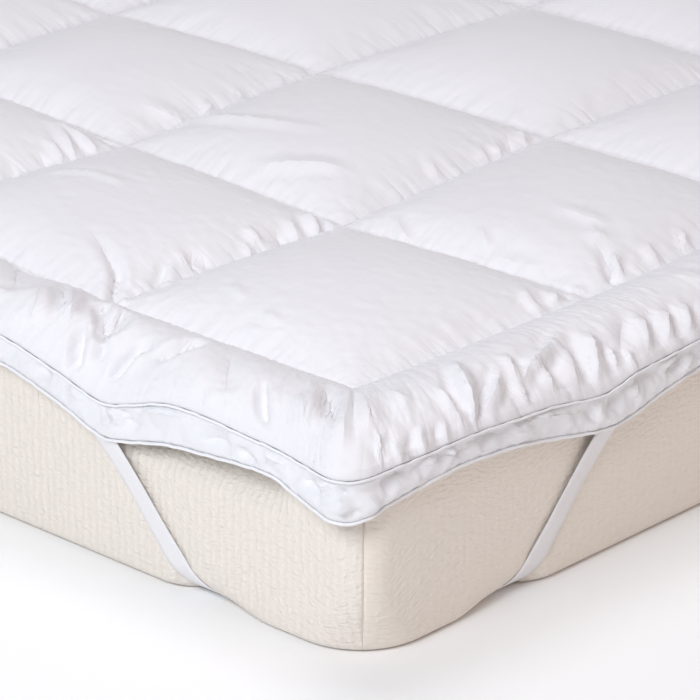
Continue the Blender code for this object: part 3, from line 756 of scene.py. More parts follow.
@dataclass
class EdgeRun:
    """Stations round the topper's edge, anticlockwise from the front left corner."""

    quilt: QuiltGrid
    arc_steps: int = 8
    fan_reach: float = 0.300
    fine_reach: float = 0.420
    point: Array = field(init=False)
    normal: Array = field(init=False)
    from_corner: Array = field(init=False)
    corner: Array = field(init=False)
    side: Array = field(init=False)
    inner: Array = field(init=False)
    inner_next: Array = field(init=False)
    upper: Array = field(init=False)
    lower: Array = field(init=False)
    overhang: Array = field(init=False)

    def __post_init__(self) -> None:
        """Lay the stations out and read the seams' heights at each."""
        rows: list[tuple[Any, ...]] = []
        for side in Side:
            rows += self.straight_rows(side)
            rows += self.arc_rows(side)
        (self.point, self.normal, self.from_corner, self.corner, self.side, self.inner,
         self.inner_next) = (np.array(column) for column in zip(*rows))
        start = BED.side_frame(Side.FRONT)[0]
        reach = np.linalg.norm(self.point - start, axis=1) / BED.corner_shift_reach
        self.point = self.point + np.exp(-reach**2)[:, None] * np.array(BED.corner_shift)
        self.upper, self.lower, self.overhang = self.edge_heights()

    def straight_rows(self, side: Side) -> list[tuple[Any, ...]]:
        """Stations on one straight side, facing the field's grid points across from them."""
        start, along, normal = BED.side_frame(side)
        length, radius = BED.side_length(side), BED.topper_corner_radius
        border = (length - round((length - 2 * BED.border) / BED.square) * BED.square) / 2
        lines, numbers = self.quilt.side_lines(side), self.quilt.facing(side)
        rows = []
        for k, line in enumerate(lines):
            for halfway in (False, True):
                if halfway and k + 1 == len(lines):
                    continue
                spot = (line + lines[k + 1]) / 2 if halfway else line
                inner = border + spot * BED.square
                fan = ((self.fan_reach - np.array([inner, length - inner]))
                       / (self.fan_reach - border))
                ahead, behind = smooth_step(fan) * (border - radius)
                distance = inner - ahead + behind
                from_end = length - distance
                corner = side.value if distance <= from_end else (side.value + 1) % 4
                if halfway and (corner != 0 or min(distance, from_end) > self.fine_reach):
                    continue
                rows.append((start + along * distance, normal, min(distance, from_end), corner,
                             side.value, numbers[k], numbers[k + 1] if halfway else numbers[k]))
        return rows

    def arc_rows(self, side: Side) -> list[tuple[Any, ...]]:
        """Stations on the rounded corner at the end of a side."""
        start, along, normal = BED.side_frame(side)
        radius = BED.topper_corner_radius
        centre = start + along * (BED.side_length(side) - radius) - normal * radius
        corner = (side.value + 1) % 4
        number = self.quilt.facing(side)[-1]
        rows = []
        for step in range(1, self.arc_steps):
            turn = step / self.arc_steps
            angle = turn * math.pi / 2
            outward = normal * math.cos(angle) + along * math.sin(angle)
            owner = side.value if turn < 0.5 else corner
            rows.append((centre + outward * radius, outward, abs(2 * turn - 1) * radius,
                         corner, owner, number, number))
        return rows

    def edge_heights(self) -> tuple[Array, Array, Array]:
        """Heights of the upper and lower seams and the overhang at every station."""
        front_left = self.corner == 0
        on_front = self.side == Side.FRONT.value
        key = self.from_corner / MM
        found = []
        for column in (1, 2, 3):
            row = np.where(front_left & on_front, smooth_rows(FRONT_EDGE, key, column),
                           np.where(front_left, smooth_rows(LEFT_EDGE, key, column),
                                    smooth_rows(PLAIN_EDGE, key, column)))
            found.append(smoothed(row, 3) * MM)
        return found[0], found[1], found[2]

    def stretches(self) -> Iterator[tuple[Side, int, Array]]:
        """Both halves of every side: the side, the half's corner and which stations it has."""
        for side in Side:
            for corner in (side.value, (side.value + 1) % 4):
                yield side, corner, (self.side == side.value) & (self.corner == corner)

    def place(self, outward: Array | float, height: Array | float) -> Array:
        """Points that lie outward of the stations at a height."""
        plan = self.point + self.normal * np.broadcast_to(outward, len(self.point))[:, None]
        return np.column_stack([plan, np.broadcast_to(height, len(plan))])

    def run(self) -> Array:
        """Distance travelled round the edge, one longer than the stations."""
        return closed_run(self.point)

    def facing(self, points: Array) -> Array:
        """Places on the sewn line that the stations face, from the field's points."""
        return (points[self.inner] + points[self.inner_next]) / 2


# Finishes -------------------------------------------------------------------------------

# Scale at which Blender's wave texture draws one band a metre
ONE_BAND = 2 * math.pi / 20


def add_node(tree: NodeTree, kind: str, inputs: dict[str | int, Any] | None = None,
             output: str | int = 0, **settings: Any) -> NodeSocket:
    """Add one shader node with its settings and what goes into it.

    Args:
        tree: The material's node tree.
        kind: Blender's name for the node, after "ShaderNode".
        inputs: A value or another node's output for each input.
        output: Which of its outputs is wanted.
        settings: Values of the node's own properties.

    Returns:
        The wanted output.
    """
    node = tree.nodes.new(f"ShaderNode{kind}")
    for name, value in settings.items():
        setattr(node, name, value)
    for name, value in (inputs or {}).items():
        if isinstance(value, NodeSocket):
            tree.links.new(value, node.inputs[name])
        else:
            node.inputs[name].default_value = value
    return node.outputs[output]


def stretched_noise(tree: NodeTree, source: NodeSocket, scale: Triple, detail: float) -> NodeSocket:
    """Noise that is drawn out along one direction.

    Args:
        tree: The node tree.
        source: Coordinates in metres.
        scale: Features a metre in each direction.
        detail: How much finer noise is laid on it.

    Returns:
        The noise, from 0 to 1.
    """
    mapped = add_node(tree, "Mapping", {"Vector": source, "Scale": scale})
    return add_node(tree, "TexNoise", {"Vector": mapped, "Scale": 1.0, "Detail": detail,
                                       "Roughness": 0.55})


def new_material(name: str, **sockets: Any) -> Material:
    """Start a material on the Principled shader.

    Args:
        name: Name of the material.
        sockets: Constant values of the shader, with _ for a space in a name.

    Returns:
        The new material.
    """
    material = bpy.data.materials.new(name)
    material.use_nodes = True
    shader = material.node_tree.nodes["Principled BSDF"]
    for socket, value in sockets.items():
        shader.inputs[socket.replace("_", " ")].default_value = value
    return material


def tint(material: Material, tone: NodeSocket, *colours: str) -> None:
    """Colour a material between two sRGB hex colours, as its tone goes from 0 to 1."""
    tree = material.node_tree
    first, second = (linear(colour) for colour in colours)
    # the colours of a Mix node are its inputs 6 and 7 and its output 2
    mixed = add_node(tree, "Mix", {"Factor": tone, 6: first, 7: second}, 2, data_type="RGBA")
    tree.links.new(mixed, tree.nodes["Principled BSDF"].inputs["Base Color"])


def emboss(material: Material, height: NodeSocket, relief: float, strength: float = 1.0) -> None:
    """Give a material its relief, in metres for a height of 1."""
    tree = material.node_tree
    bump = add_node(tree, "Bump", {"Strength": strength, "Distance": relief, "Height": height})
    tree.links.new(bump, tree.nodes["Principled BSDF"].inputs["Normal"])


@dataclass(frozen=True)
class CottonPercale:
    """Close-woven bleached cotton, calendered smooth over its filling.

    It reads as a cool white with a faint soft sheen, and shows fine puckers beside seams.
    """

    name: str = "cotton_percale"
    light: str = "#F4F3F6"
    shade: str = "#EEECF0"
    roughness: float = 0.50
    sheen: float = 0.12
    clouds_a_metre: float = 9.0
    puckers_a_metre: float = 46.0
    puckers_in_line: float = 9.0
    crinkles_a_metre: float = 60.0
    crinkle_share: float = 0.05
    weave_a_metre: float = 900.0
    weave_share: float = 0.012
    relief: float = 0.0050
    line_width: float = 2.3
    line_share: float = 0.042

    def make(self) -> Material:
        """Build the material."""
        cloth = new_material(self.name, Roughness=self.roughness, IOR=1.46,
                             Sheen_Weight=self.sheen, Sheen_Roughness=0.45)
        tree = cloth.node_tree
        weave = add_node(tree, "UVMap", uv_map="weave")
        place = add_node(tree, "TexCoord", output="Object")
        tint(cloth, stretched_noise(tree, place, (self.clouds_a_metre,) * 3, 3.0),
             self.light, self.shade)
        height: NodeSocket | float = 0.0
        fast, slow = self.puckers_a_metre, self.puckers_in_line
        for mask, scale in (("puckers_across", (fast, slow, 1.0)),
                            ("puckers_along", (slow, fast, 1.0))):
            amount = add_node(tree, "Attribute", output="Fac", attribute_name=mask)
            noise = stretched_noise(tree, weave, scale, 1.0)
            swing = add_node(tree, "Math", {0: noise, 1: 0.5}, operation="SUBTRACT")
            ridged = add_node(tree, "Math", {0: swing}, operation="ABSOLUTE")
            height = add_node(tree, "Math", {0: ridged, 1: amount, 2: height},
                              operation="MULTIPLY_ADD")
        distance, depth = (add_node(tree, "Attribute", output="Fac", attribute_name=name)
                           for name in ("line_distance", "line_depth"))
        away = add_node(tree, "Math", {0: distance}, operation="ABSOLUTE")
        fall = add_node(tree, "Math", {0: away, 1: -1.0 / self.line_width}, operation="MULTIPLY")
        crisp = add_node(tree, "Math", {0: fall}, operation="EXPONENT")
        sharp = add_node(tree, "Math", {0: depth, 1: self.line_share}, operation="MULTIPLY")
        crinkle = stretched_noise(tree, place, (self.crinkles_a_metre,) * 3, 2.5)
        # the real threads are 0.2 mm apart; they are drawn at about 1.1 mm so that they show
        threads = stretched_noise(tree, weave, (self.weave_a_metre, self.weave_a_metre, 1.0), 0.0)
        for detail, share in ((crisp, sharp), (crinkle, self.crinkle_share),
                              (threads, self.weave_share)):
            height = add_node(tree, "Math", {0: detail, 1: share, 2: height},
                              operation="MULTIPLY_ADD")
        emboss(cloth, height, self.relief)
        return cloth


@dataclass(frozen=True)
class KnittedCover:
    """Cream stretch knit of polyester with a crepe surface, matt and soft.

    Rows of crinkled loops stand in wavy upright ribs about 9 mm apart; they show where light
    grazes them, and elsewhere only a fine sideways grain does. The colour is painted darker
    where the loops and ribs are low: painted shade in their hollows.
    """

    name: str = "crepe_knit_polyester"
    raised: str = "#F5EEE6"
    # darker colour of the low parts: painted shade in the hollows
    painted_hollow_shade: str = "#ECE3D8"
    roughness: float = 0.9
    rib_pitch: float = 0.0088
    rib_stretch: float = 0.70
    loops_a_metre: Triple = (120.0, 340.0, 1.0)
    loop_share: float = 0.30
    grain_a_metre: Triple = (110.0, 260.0, 1.0)
    grain_share: float = 0.90
    relief: float = 0.0015

    def make(self) -> Material:
        """Build the material."""
        knit = new_material(self.name, Roughness=self.roughness, IOR=1.45,
                            Sheen_Weight=0.15, Sheen_Roughness=0.6)
        tree = knit.node_tree
        weave = add_node(tree, "UVMap", uv_map="weave")
        drawn_out = add_node(tree, "Mapping", {"Vector": weave,
                                               "Scale": (1.0, self.rib_stretch, 1.0)})
        wavy = add_node(tree, "TexWave",
                        {"Vector": drawn_out, "Scale": ONE_BAND / self.rib_pitch,
                         "Distortion": 3.6, "Detail": 3.0, "Detail Scale": 2.4,
                         "Detail Roughness": 0.6}, "Fac", bands_direction="X")
        # the ribs' strength also sets how much painted hollow shade the colour gets
        amount = add_node(tree, "Attribute", output="Fac", attribute_name="ribbed")
        ribs = add_node(tree, "Math", {0: wavy, 1: amount}, operation="MULTIPLY")
        loops = stretched_noise(tree, weave, self.loops_a_metre, 2.0)
        on_ribs = add_node(tree, "Math", {0: ribs, 1: loops}, operation="MULTIPLY")
        height = add_node(tree, "Math", {0: loops, 1: self.loop_share, 2: on_ribs},
                          operation="MULTIPLY_ADD")
        # darker where the loops and ribs are low: painted shade in the hollows
        tint(knit, height, self.painted_hollow_shade, self.raised)
        grain = stretched_noise(tree, weave, self.grain_a_metre, 1.0)
        height = add_node(tree, "Math", {0: grain, 1: self.grain_share, 2: height},
                          operation="MULTIPLY_ADD")
        emboss(knit, height, self.relief)
        return knit


@dataclass(frozen=True)
class WovenElastic:
    """Flat woven elastic: rubber cores under white polyester, ribbed lengthwise and matt."""

    name: str = "flat_woven_elastic"
    rib: str = "#FAF9FA"
    # the gap colour is painted shade in the grooves between ribs and picks
    gap: str = "#F1EFF2"
    ribs_a_metre: float = 560.0
    picks_a_metre: float = 700.0
    pick_share: float = 0.5
    gap_shade_share: float = 0.66
    relief: float = 0.0004

    def make(self) -> Material:
        """Build the material."""
        elastic = new_material(self.name, Roughness=0.7, IOR=1.5, Sheen_Weight=0.1)
        tree = elastic.node_tree
        weave = add_node(tree, "UVMap", uv_map="weave")
        height: NodeSocket | float = 0.0
        for direction, count, share in (("X", self.ribs_a_metre, 1.0),
                                        ("Y", self.picks_a_metre, self.pick_share)):
            bands = add_node(tree, "TexWave", {"Vector": weave, "Scale": count * ONE_BAND,
                                               "Distortion": 0.4, "Detail": 0.0},
                             "Fac", bands_direction=direction)
            height = add_node(tree, "Math", {0: bands, 1: share, 2: height},
                              operation="MULTIPLY_ADD")
        # darker where the ribs and picks are low: painted shade in the grooves
        tone = add_node(tree, "Math", {0: height, 1: self.gap_shade_share}, operation="MULTIPLY")
        tint(elastic, tone, self.gap, self.rib)
        emboss(elastic, height, self.relief, 0.7)
        return elastic


@dataclass(frozen=True)
class SpunThread:
    """Spun polyester cord or sewing thread, twisted, so it shows slanting plies."""

    name: str
    light: str
    shade: str
    turns_a_metre: float = 420.0
    roughness: float = 0.62
    relief: float = 0.0003

    def make(self) -> Material:
        """Build the material."""
        thread = new_material(self.name, Roughness=self.roughness, IOR=1.5, Sheen_Weight=0.1)
        tree = thread.node_tree
        place = add_node(tree, "TexCoord", output="Object")
        plies = add_node(tree, "TexWave", {"Vector": place, "Scale": self.turns_a_metre * ONE_BAND,
                                           "Distortion": 0.8, "Detail": 1.0},
                         "Fac", bands_direction="DIAGONAL")
        tint(thread, plies, self.shade, self.light)
        emboss(thread, plies, self.relief, 0.5)
        return thread


# The quilted topper ---------------------------------------------------------------------


@dataclass
class QuiltedBody:
    """The filled topper: crowned squares, padded border, drooping hem and flat underside."""

    quilt: QuiltGrid
    edge: EdgeRun
    crown: float = 0.0245
    finished_crown: float = 0.028
    crown_power: float = 0.50
    border_crown: float = 0.021
    border_rings: int = 34
    border_crowding: float = 0.35
    border_roll: float = 0.001
    border_spread: float = 0.92
    border_droop: float = 1.6
    tucked_in: tuple[Pair, ...] = ((0.0016, 0.0056), (0.0006, 0.0024))
    behind_upper_seam: tuple[Pair, ...] = ((-0.0014, 0.0010), (-0.0072, -0.0050))
    behind_lower_seam: tuple[Pair, ...] = (
        (-0.0072, 0.0090), (-0.0026, 0.0028), (-0.0048, 0.0014))
    shoulder: float = 0.022
    base_lift: float = 0.0006
    base_inset: float = 0.42
    ring_pitch: float = 0.0031
    border_map: float = 3.0
    pucker_reach: float = 0.026
    pucker_margin: float = 0.030
    border_puckers: Triple = (0.35, 0.65, 0.020)
    gathered_reach: float = 0.030
    corner_spare: float = 0.08
    more_in_front: float = 0.10
    plain_spare: float = 0.12
    fold_gain: float = 2.125
    fold_spacing: float = 0.021
    front_ridge: Pair = (0.90, 0.85)
    front_valley: Pair = (0.50, 1.15)
    front_folds: float = 0.9
    side_folds: float = 0.6
    crease_gain: float = 1.5
    most_relief: float = 0.010
    calmed_at_seam: float = 0.45
    sharpest_line: float = 0.0055
    folded_before: float = 0.15
    folded_after: float = 0.9
    unevenness: float = 0.0004
    seed: int = 5
    border_give: float = 0.6
    border_smoothing: int = 6
    settling: Settling = Settling()

    def field_points(self, crown: float) -> Array:
        """Points of the quilted field, each square crowned between its sewn lines.

        Args:
            crown: Height of a square's middle over its seams.

        Returns:
            The points, one a row.
        """
        along, across = self.quilt.mesh()
        plan = self.quilt.plan(along, across)
        p, q = along % 1.0, across % 1.0
        swell = np.maximum(np.sin(math.pi * p) * np.sin(math.pi * q), 0.0) ** self.crown_power
        height = BED.sewn_plane + crown * swell
        return np.dstack([plan, height]).reshape(-1, 3)

    def border_points(self, inner: Array) -> Array:
        """Rings of the padded border, from beside the sewn line to the upper seam.

        Args:
            inner: The field's points that the stations face.

        Returns:
            One ring of points a row.
        """
        edge, roll = self.edge, self.border_roll
        end = edge.place(edge.overhang + roll, 0.0)[:, :2]
        rings = []
        for step in range(1, self.border_rings + 1):
            across = float(crowded(np.array(step / self.border_rings), self.border_crowding))
            plan = inner[:, :2] + (end - inner[:, :2]) * across ** self.border_spread
            fall = (edge.upper + 2 * roll - BED.sewn_plane) * across ** self.border_droop
            rise = float(smooth_rows(BORDER_PROFILE, np.array(across), 1)) * self.border_crown
            rings.append(np.column_stack([plan, BED.sewn_plane + fall + rise]))
        rings += [edge.place(edge.overhang + out, edge.upper + up) for out, up in self.tucked_in]
        return np.array(rings)

    def underside_points(self) -> Array:
        """Rings inside the gusset, round the hem and under it to the flat base."""
        edge, top = self.edge, BED.height
        on_arc = np.abs(edge.normal).max(axis=1) < 0.999
        shoulder = np.where(on_arc, 0.002 - BED.topper_corner_radius, -self.shoulder)
        return np.array(
            [edge.place(edge.overhang + out, edge.upper + up) for out, up in self.behind_upper_seam]
            + [edge.place(edge.overhang + out, edge.lower + up) for out, up in self.behind_lower_seam]
            + [edge.place(0.0035, np.maximum(top - 0.018, edge.lower + 0.006)),
               edge.place(-0.0045, top - 0.0020), edge.place(shoulder, top + 0.0028)])

    def looseness(self, rings: int) -> Array:
        """How much spare cloth each point of the sheet has: most beside a seam that is gathered."""
        edge = self.edge
        near = (edge.corner == 0) & (edge.side == Side.FRONT.value)
        more = self.more_in_front * smooth_step((edge.from_corner - 0.03) / 0.10)
        spare = smoothed(np.where(near, self.corner_spare + more, self.plain_spare), 20)
        along, across = (grid.ravel() * BED.square for grid in self.quilt.mesh())
        to_seam = np.minimum(*self.quilt.to_seams())
        patchy = 0.75 + 0.25 * ripple(along + 0.7 * across, 0.17, 0.6)
        return np.concatenate([patchy * np.exp(-to_seam / self.gathered_reach),
                               np.tile(spare, rings)])

    def border_places(self, rings: int) -> Array:
        """Place of each border point for the folds: metres from the corner and across."""
        steps = np.arange(1, rings + 1) / rings
        shares = crowded(np.minimum(steps * rings / self.border_rings, 1.0), self.border_crowding)
        along = np.tile(self.edge.from_corner, rings)
        return np.column_stack([along, np.repeat(shares * BED.border, len(self.edge.point))])

    def fold_effects(self, rings: int) -> Array:
        """Rise of each point of the sheet beside a main fold, and the fold's sharp line."""
        along, across = (grid.ravel() for grid in self.quilt.mesh())
        places = np.column_stack([along, across]) * BED.square
        inside = FOLD_SHAPE.effects(SQUARE_CREASES, places, (1000, 1000), (BED.square, BED.square))
        inside[:, [0, 2]] *= self.crease_gain
        places = self.border_places(rings)
        border = np.zeros((len(places), 3))
        for side, corner, stations in self.edge.stretches():
            size = self.front_folds if side in (Side.FRONT, Side.BACK) else self.side_folds
            rows = FurtherFolds(self.fold_spacing, size).rows(side, corner)
            if corner == 0:
                rows += [self.stronger(row, side) for row in BORDER_FOLDS[side]]
            chosen = np.tile(stations, rings)
            border[chosen] = FOLD_SHAPE.effects(rows, places[chosen], (1, 100), (MM, BED.border))
        for column, most in ((0, self.most_relief), (2, self.sharpest_line)):
            border[:, column] = most * np.tanh(border[:, column] / most)
        to_seam = (BED.border - places[:, 1]) / 0.010
        border[:, 0] *= 1 - self.calmed_at_seam * smooth_step(1 - to_seam)
        return np.concatenate([inside, border])

    def stronger(self, row: FoldRow, side: Side) -> FoldRow:
        """A fold of the border with its gain: the front's ridges are narrow, its valleys shallow."""
        width, depth, step, *rest = row
        gain = self.fold_gain
        if side is Side.FRONT:
            share, broad = self.front_ridge if depth > 0 else self.front_valley
            gain, width = gain * share, width * broad
        return width, depth * gain, step * gain, *rest

    def sheet_faces(self, rings: Array) -> Skin:
        """Faces of the field, with their map places, and of the rings round it."""
        along, across = self.quilt.lines_along, self.quilt.lines_across
        columns = len(across)
        faces, places = [], []
        for r in range(len(along) - 1):
            for c in range(columns - 1):
                corners = ((r, c), (r, c + 1), (r + 1, c + 1), (r + 1, c))
                faces.append([row * columns + column for row, column in corners])
                places.extend((across[column] * BED.square, along[row] * BED.square)
                              for row, column in corners)
        more, more_places = ring_faces(rings, self.edge.run() + self.border_map,
                                       np.arange(len(rings)) * self.ring_pitch)
        return faces + more, places + more_places

    def sewn_points(self, count: int) -> Array:
        """Which of the sheet's points the quilting and the upper seam hold down."""
        on_line = np.minimum(*self.quilt.to_seams()) < 1e-6
        sewn = np.zeros(count, bool)
        sewn[:on_line.size] = on_line
        sewn[-len(self.edge.point):] = True
        return sewn

    def pucker_masks(self, count: int, rings: int) -> tuple[Array, Array]:
        """How near each point lies to a seam that runs across and one that runs along."""
        to_across, to_along = self.quilt.to_seams()
        over, up = np.zeros(count), np.zeros(count)
        size = to_across.size
        for mask, near, far in ((over, to_across, to_along), (up, to_along, to_across)):
            mask[:size] = np.exp(-near / self.pucker_reach) * np.minimum(1, far / self.pucker_margin)
        from_line = self.border_places(rings)[:, 1]
        to_seam = np.minimum(from_line, BED.border - from_line)
        least, more, reach = self.border_puckers
        over[size:size + len(to_seam)] = least + more * np.exp(-to_seam / reach)
        return over, up

    def settled(self, sheet: Array, faces: Faces, sewn: Array, folds: Array, rings: int) -> Array:
        """Let the cloth settle over its filling, with a first hint of its folds in it.

        Args:
            sheet: Points of the field and then of the border's rings.
            faces: The sheet's faces.
            sewn: Which points are sewn down.
            folds: Rise of each point beside a fold, as a column.
            rings: How many rings the border has.

        Returns:
            The settled points.
        """
        sheet = sheet + self.folded_before * folds * sheet_normals(sheet, faces)
        noise = np.random.default_rng(self.seed).normal(0.0, self.unevenness, len(sheet))
        sheet[:, 2] += np.where(sewn, 0.0, noise)
        moved = self.settling.run(sheet, faces, sewn, self.looseness(rings)) - sheet
        stations = len(self.edge.point)
        border = moved[-rings * stations:].reshape(rings, stations, 3)
        border = smoothed(border, self.border_smoothing, axis=1)
        moved[-rings * stations:] = self.border_give * border.reshape(-1, 3)
        return sheet + moved

    def build(self, material: Material) -> None:
        """Build the whole filled body."""
        field_points = self.field_points(self.crown)
        inner = self.edge.facing(field_points)
        border = self.border_points(inner)
        sheet = np.vstack([field_points, border.reshape(-1, 3)])
        rings, stations = border.shape[:2]
        numbers = len(field_points) + np.arange(rings * stations).reshape(rings, stations)
        ring_numbers = np.vstack([self.edge.inner, numbers])
        faces, _ = self.sheet_faces(ring_numbers)
        sewn = self.sewn_points(len(sheet))
        effects = self.fold_effects(rings)
        folds = np.where(sewn, 0.0, effects[:, 0])[:, None]
        sheet = self.settled(sheet, faces, sewn, folds, rings)
        sheet = sheet + self.folded_after * folds * sheet_normals(sheet, faces)
        under = self.underside_points()
        base = BED.height + self.base_lift
        deep_plan = inner[:, :2] + (self.edge.point - inner[:, :2]) * self.base_inset
        deepest = np.column_stack([deep_plan, np.full(stations, base)])
        points = np.vstack([sheet, under.reshape(-1, 3), deepest, [[0.0, 0.0, base]]])
        below = len(sheet) + np.arange((len(under) + 1) * stations).reshape(-1, stations)
        faces, places = self.sheet_faces(np.vstack([ring_numbers, below]))
        cap, cap_places = cap_faces(below[-1], len(points) - 1)
        body = make_piece("quilted_body", points, faces + cap, places + cap_places)
        over, up = self.pucker_masks(len(points), rings)
        lines = np.zeros((len(points), 2))
        lines[:len(sheet)] = effects[:, 1:] / MM
        keep_values(body, puckers_across=over, puckers_along=up, line_distance=lines[:, 0],
                    line_depth=lines[:, 1])
        hand_over(body, material, "quilted_cloth", "topper_body")


@dataclass
class Gusset:
    """The boxing strip between the two rows of piping, slack enough to wrinkle."""

    edge: EdgeRun
    flat_width: float = 0.037
    ease: float = 1.04
    under_upper_seam: float = 0.0006
    over_lower_seam: float = 0.0014
    thickness: float = 0.0011
    rows: int = 14
    map_width: float = 0.034
    back_map: float = 0.1
    belly: float = 0.0012
    slump: float = 0.0030
    left_slump: float = 0.25
    plain_slump: float = 0.75
    fold_gain: float = 2.2
    fold_spacing: float = 0.028
    fold_size: float = 0.35
    line_gain: float = 1.6
    deepest_hollow: float = 0.0052
    highest_fold: float = 0.008
    settling: Settling = Settling(frames=14, pressure=0.6, least_growth=0.02, most_growth=0.02,
                                  point_mass=0.2, bending=0.02, farthest=0.0035)

    def slumped(self, run: Array) -> Array:
        """How far the strip has slumped at each station, least on the left near the corner."""
        edge = self.edge
        on_left = (edge.corner == 0) & (edge.side == Side.LEFT.value)
        slump = np.where(on_left, self.left_slump, self.plain_slump)
        return smoothed(slump + 0.35 * ripple(run, 0.140, 0.8), 12)

    def fold_effects(self) -> Array:
        """What the folds do to the strip, for each of its rows and stations."""
        edge, further = self.edge, FurtherFolds(self.fold_spacing, self.fold_size)
        shares = np.arange(self.rows + 1) / self.rows
        found = np.zeros((len(shares), len(edge.point), 3))
        for side, corner, chosen in edge.stretches():
            folds = further.rows(side, corner)
            if corner == 0:
                folds += GUSSET_FOLDS[side]
            for row, share in enumerate(shares):
                places = np.column_stack([edge.from_corner[chosen],
                                          np.full(chosen.sum(), share * self.flat_width)])
                found[row, chosen] = FOLD_SHAPE.effects(folds, places, (1, 100),
                                                        (MM, self.flat_width))
        return found

    def outer_points(self) -> tuple[Array, Array]:
        """Rows of the strip's outer face, from the upper seam down, and its folds' lines."""
        edge = self.edge
        top, bottom = edge.upper - self.under_upper_seam, edge.lower + self.over_lower_seam
        run = edge.run()[:-1]
        slumped, effects = self.slumped(run), self.fold_effects()
        rows = []
        for row in range(self.rows + 1):
            share = row / self.rows
            swell = math.sin(math.pi * share)
            wave = (0.0008 * ripple(run + 0.02 * share, 0.031, 1.3)
                    + 0.0009 * ripple(run - 0.03 * share, 0.083, 0.4))
            out = swell * (self.belly + wave) - self.slump * slumped * math.sin(2 * math.pi * share)
            out += self.fold_gain * min(1.0, 2.5 * swell) * effects[row, :, 0]
            hollow = self.deepest_hollow * min(1.0, 3 * swell)
            rows.append(edge.place(edge.overhang + np.clip(out, -hollow, self.highest_fold),
                                   top + (bottom - top) * share))
        return np.array(rows), effects[:, :, 1:] / MM * (1.0, self.line_gain)

    def build(self, material: Material) -> None:
        """Build the strip as a thin closed band."""
        outer, lines = self.outer_points()
        rows, stations = outer.shape[:2]
        numbers = np.arange(rows * stations).reshape(rows, stations)
        run = self.edge.run()
        reach = np.linspace(0.0, self.map_width, rows)
        points = outer.reshape(-1, 3)
        faces, _ = ring_faces(numbers, run, reach)
        sewn = np.zeros(len(points), bool)
        sewn[:stations] = sewn[-stations:] = True
        points = self.settling.run(points, faces, sewn, np.zeros(len(points)))
        outward = np.column_stack([self.edge.normal, np.zeros(stations)])
        inner = points - np.tile(outward, (rows, 1)) * self.thickness
        back = (rows * stations + numbers)[::-1]
        loop = np.vstack([numbers, back, numbers[:1]])
        spread = np.concatenate([reach, reach[::-1] + self.back_map, reach[:1]])
        faces, places = ring_faces(loop, run, spread)
        strip = make_piece("gusset_strip", np.vstack([points, inner]), faces, places)
        lines = np.vstack([lines.reshape(-1, 2), np.zeros((len(points), 2))])
        plain = np.ones(2 * len(points))
        keep_values(strip, puckers_across=0.30 * plain, puckers_along=0.06 * plain,
                    line_distance=lines[:, 0], line_depth=lines[:, 1])
        hand_over(strip, material, "gusset_cloth", "gusset")


@dataclass
class Piping:
    """A thin cord in its cloth, sewn all round the topper along one seam."""

    name: str
    node: str
    edge: EdgeRun
    on_upper_seam: bool
    outward: float
    lift: float
    radius: float = 0.0014
    facets: int = 10
    wander: float = 0.0004
    wander_length: float = 0.027

    def build(self, material: Material) -> None:
        """Build the cord as one closed ring."""
        edge = self.edge
        seam = edge.upper if self.on_upper_seam else edge.lower
        run = edge.run()
        seed = 2.0 if self.on_upper_seam else 5.0
        height = seam + self.lift + self.wander * ripple(run[:-1], self.wander_length, seed)
        angles = [-2 * math.pi * facet / self.facets for facet in range(self.facets)]
        points = np.array([
            edge.place(edge.overhang + self.outward + self.radius * math.cos(angle),
                       height + self.radius * math.sin(angle)) for angle in angles])
        count = points.shape[1]
        numbers = np.arange(self.facets * count).reshape(self.facets, count)
        loop = np.vstack([numbers, numbers[:1]])
        girth = np.linspace(0.0, 2 * math.pi * self.radius, self.facets + 1)
        faces, places = ring_faces(loop, run, girth)
        cord = make_piece(self.name, points.reshape(-1, 3), faces, places)
        hand_over(cord, material, "piping", self.node)


@dataclass
class Stitching:
    """Lockstitches along every sewn line of the quilting."""

    quilt: QuiltGrid
    pitch: float = 0.0042
    length: float = 0.0031
    radius: float = 0.00042
    lift: float = 0.0003

    def build(self, material: Material) -> None:
        """Model one stitch and lay a copy of it at every place, joined in one piece."""
        corners = self.quilt.crossings()
        lines = [*corners, *corners.swapaxes(0, 1)]
        ends = np.array([[-0.5, 0.0, -0.6], [0.5, 0.0, -0.6]])
        ring = np.array([[0.0, 1.0, 0.0], [0.0, 0.0, 1.0], [0.0, -1.0, 0.0], [0.0, 0.0, -1.0]])
        shape = np.vstack([ends[:1], ring + [-0.28, 0, 0], ring + [0.28, 0, 0], ends[1:]])
        scale = np.array([self.length, self.radius, self.radius])
        pattern = [[0, 1 + k, 1 + (k + 1) % 4] for k in range(4)]
        pattern += [[1 + k, 5 + k, 5 + (k + 1) % 4, 1 + (k + 1) % 4] for k in range(4)]
        pattern += [[9, 5 + (k + 1) % 4, 5 + k] for k in range(4)]
        points, faces = [], []
        for line in lines:
            for start, end in zip(line, line[1:]):
                run = end - start
                distance = float(np.linalg.norm(run))
                ahead = run / distance
                aside = np.array([-ahead[1], ahead[0]])
                for number in range(int(distance / self.pitch)):
                    middle = start + ahead * (number + 0.5) * self.pitch
                    local = shape * scale
                    plan = middle + local[:, :1] * ahead + local[:, 1:2] * aside
                    height = BED.sewn_plane + self.lift + local[:, 2]
                    base = len(points) * len(shape)
                    points.append(np.column_stack([plan, height]))
                    faces.extend([[base + i for i in face] for face in pattern])
        stitches = make_piece("quilting_stitches", np.vstack(points), faces)
        face_outwards(stitches)
        hand_over(stitches, material, "quilted_cloth")


# The straps -----------------------------------------------------------------------------


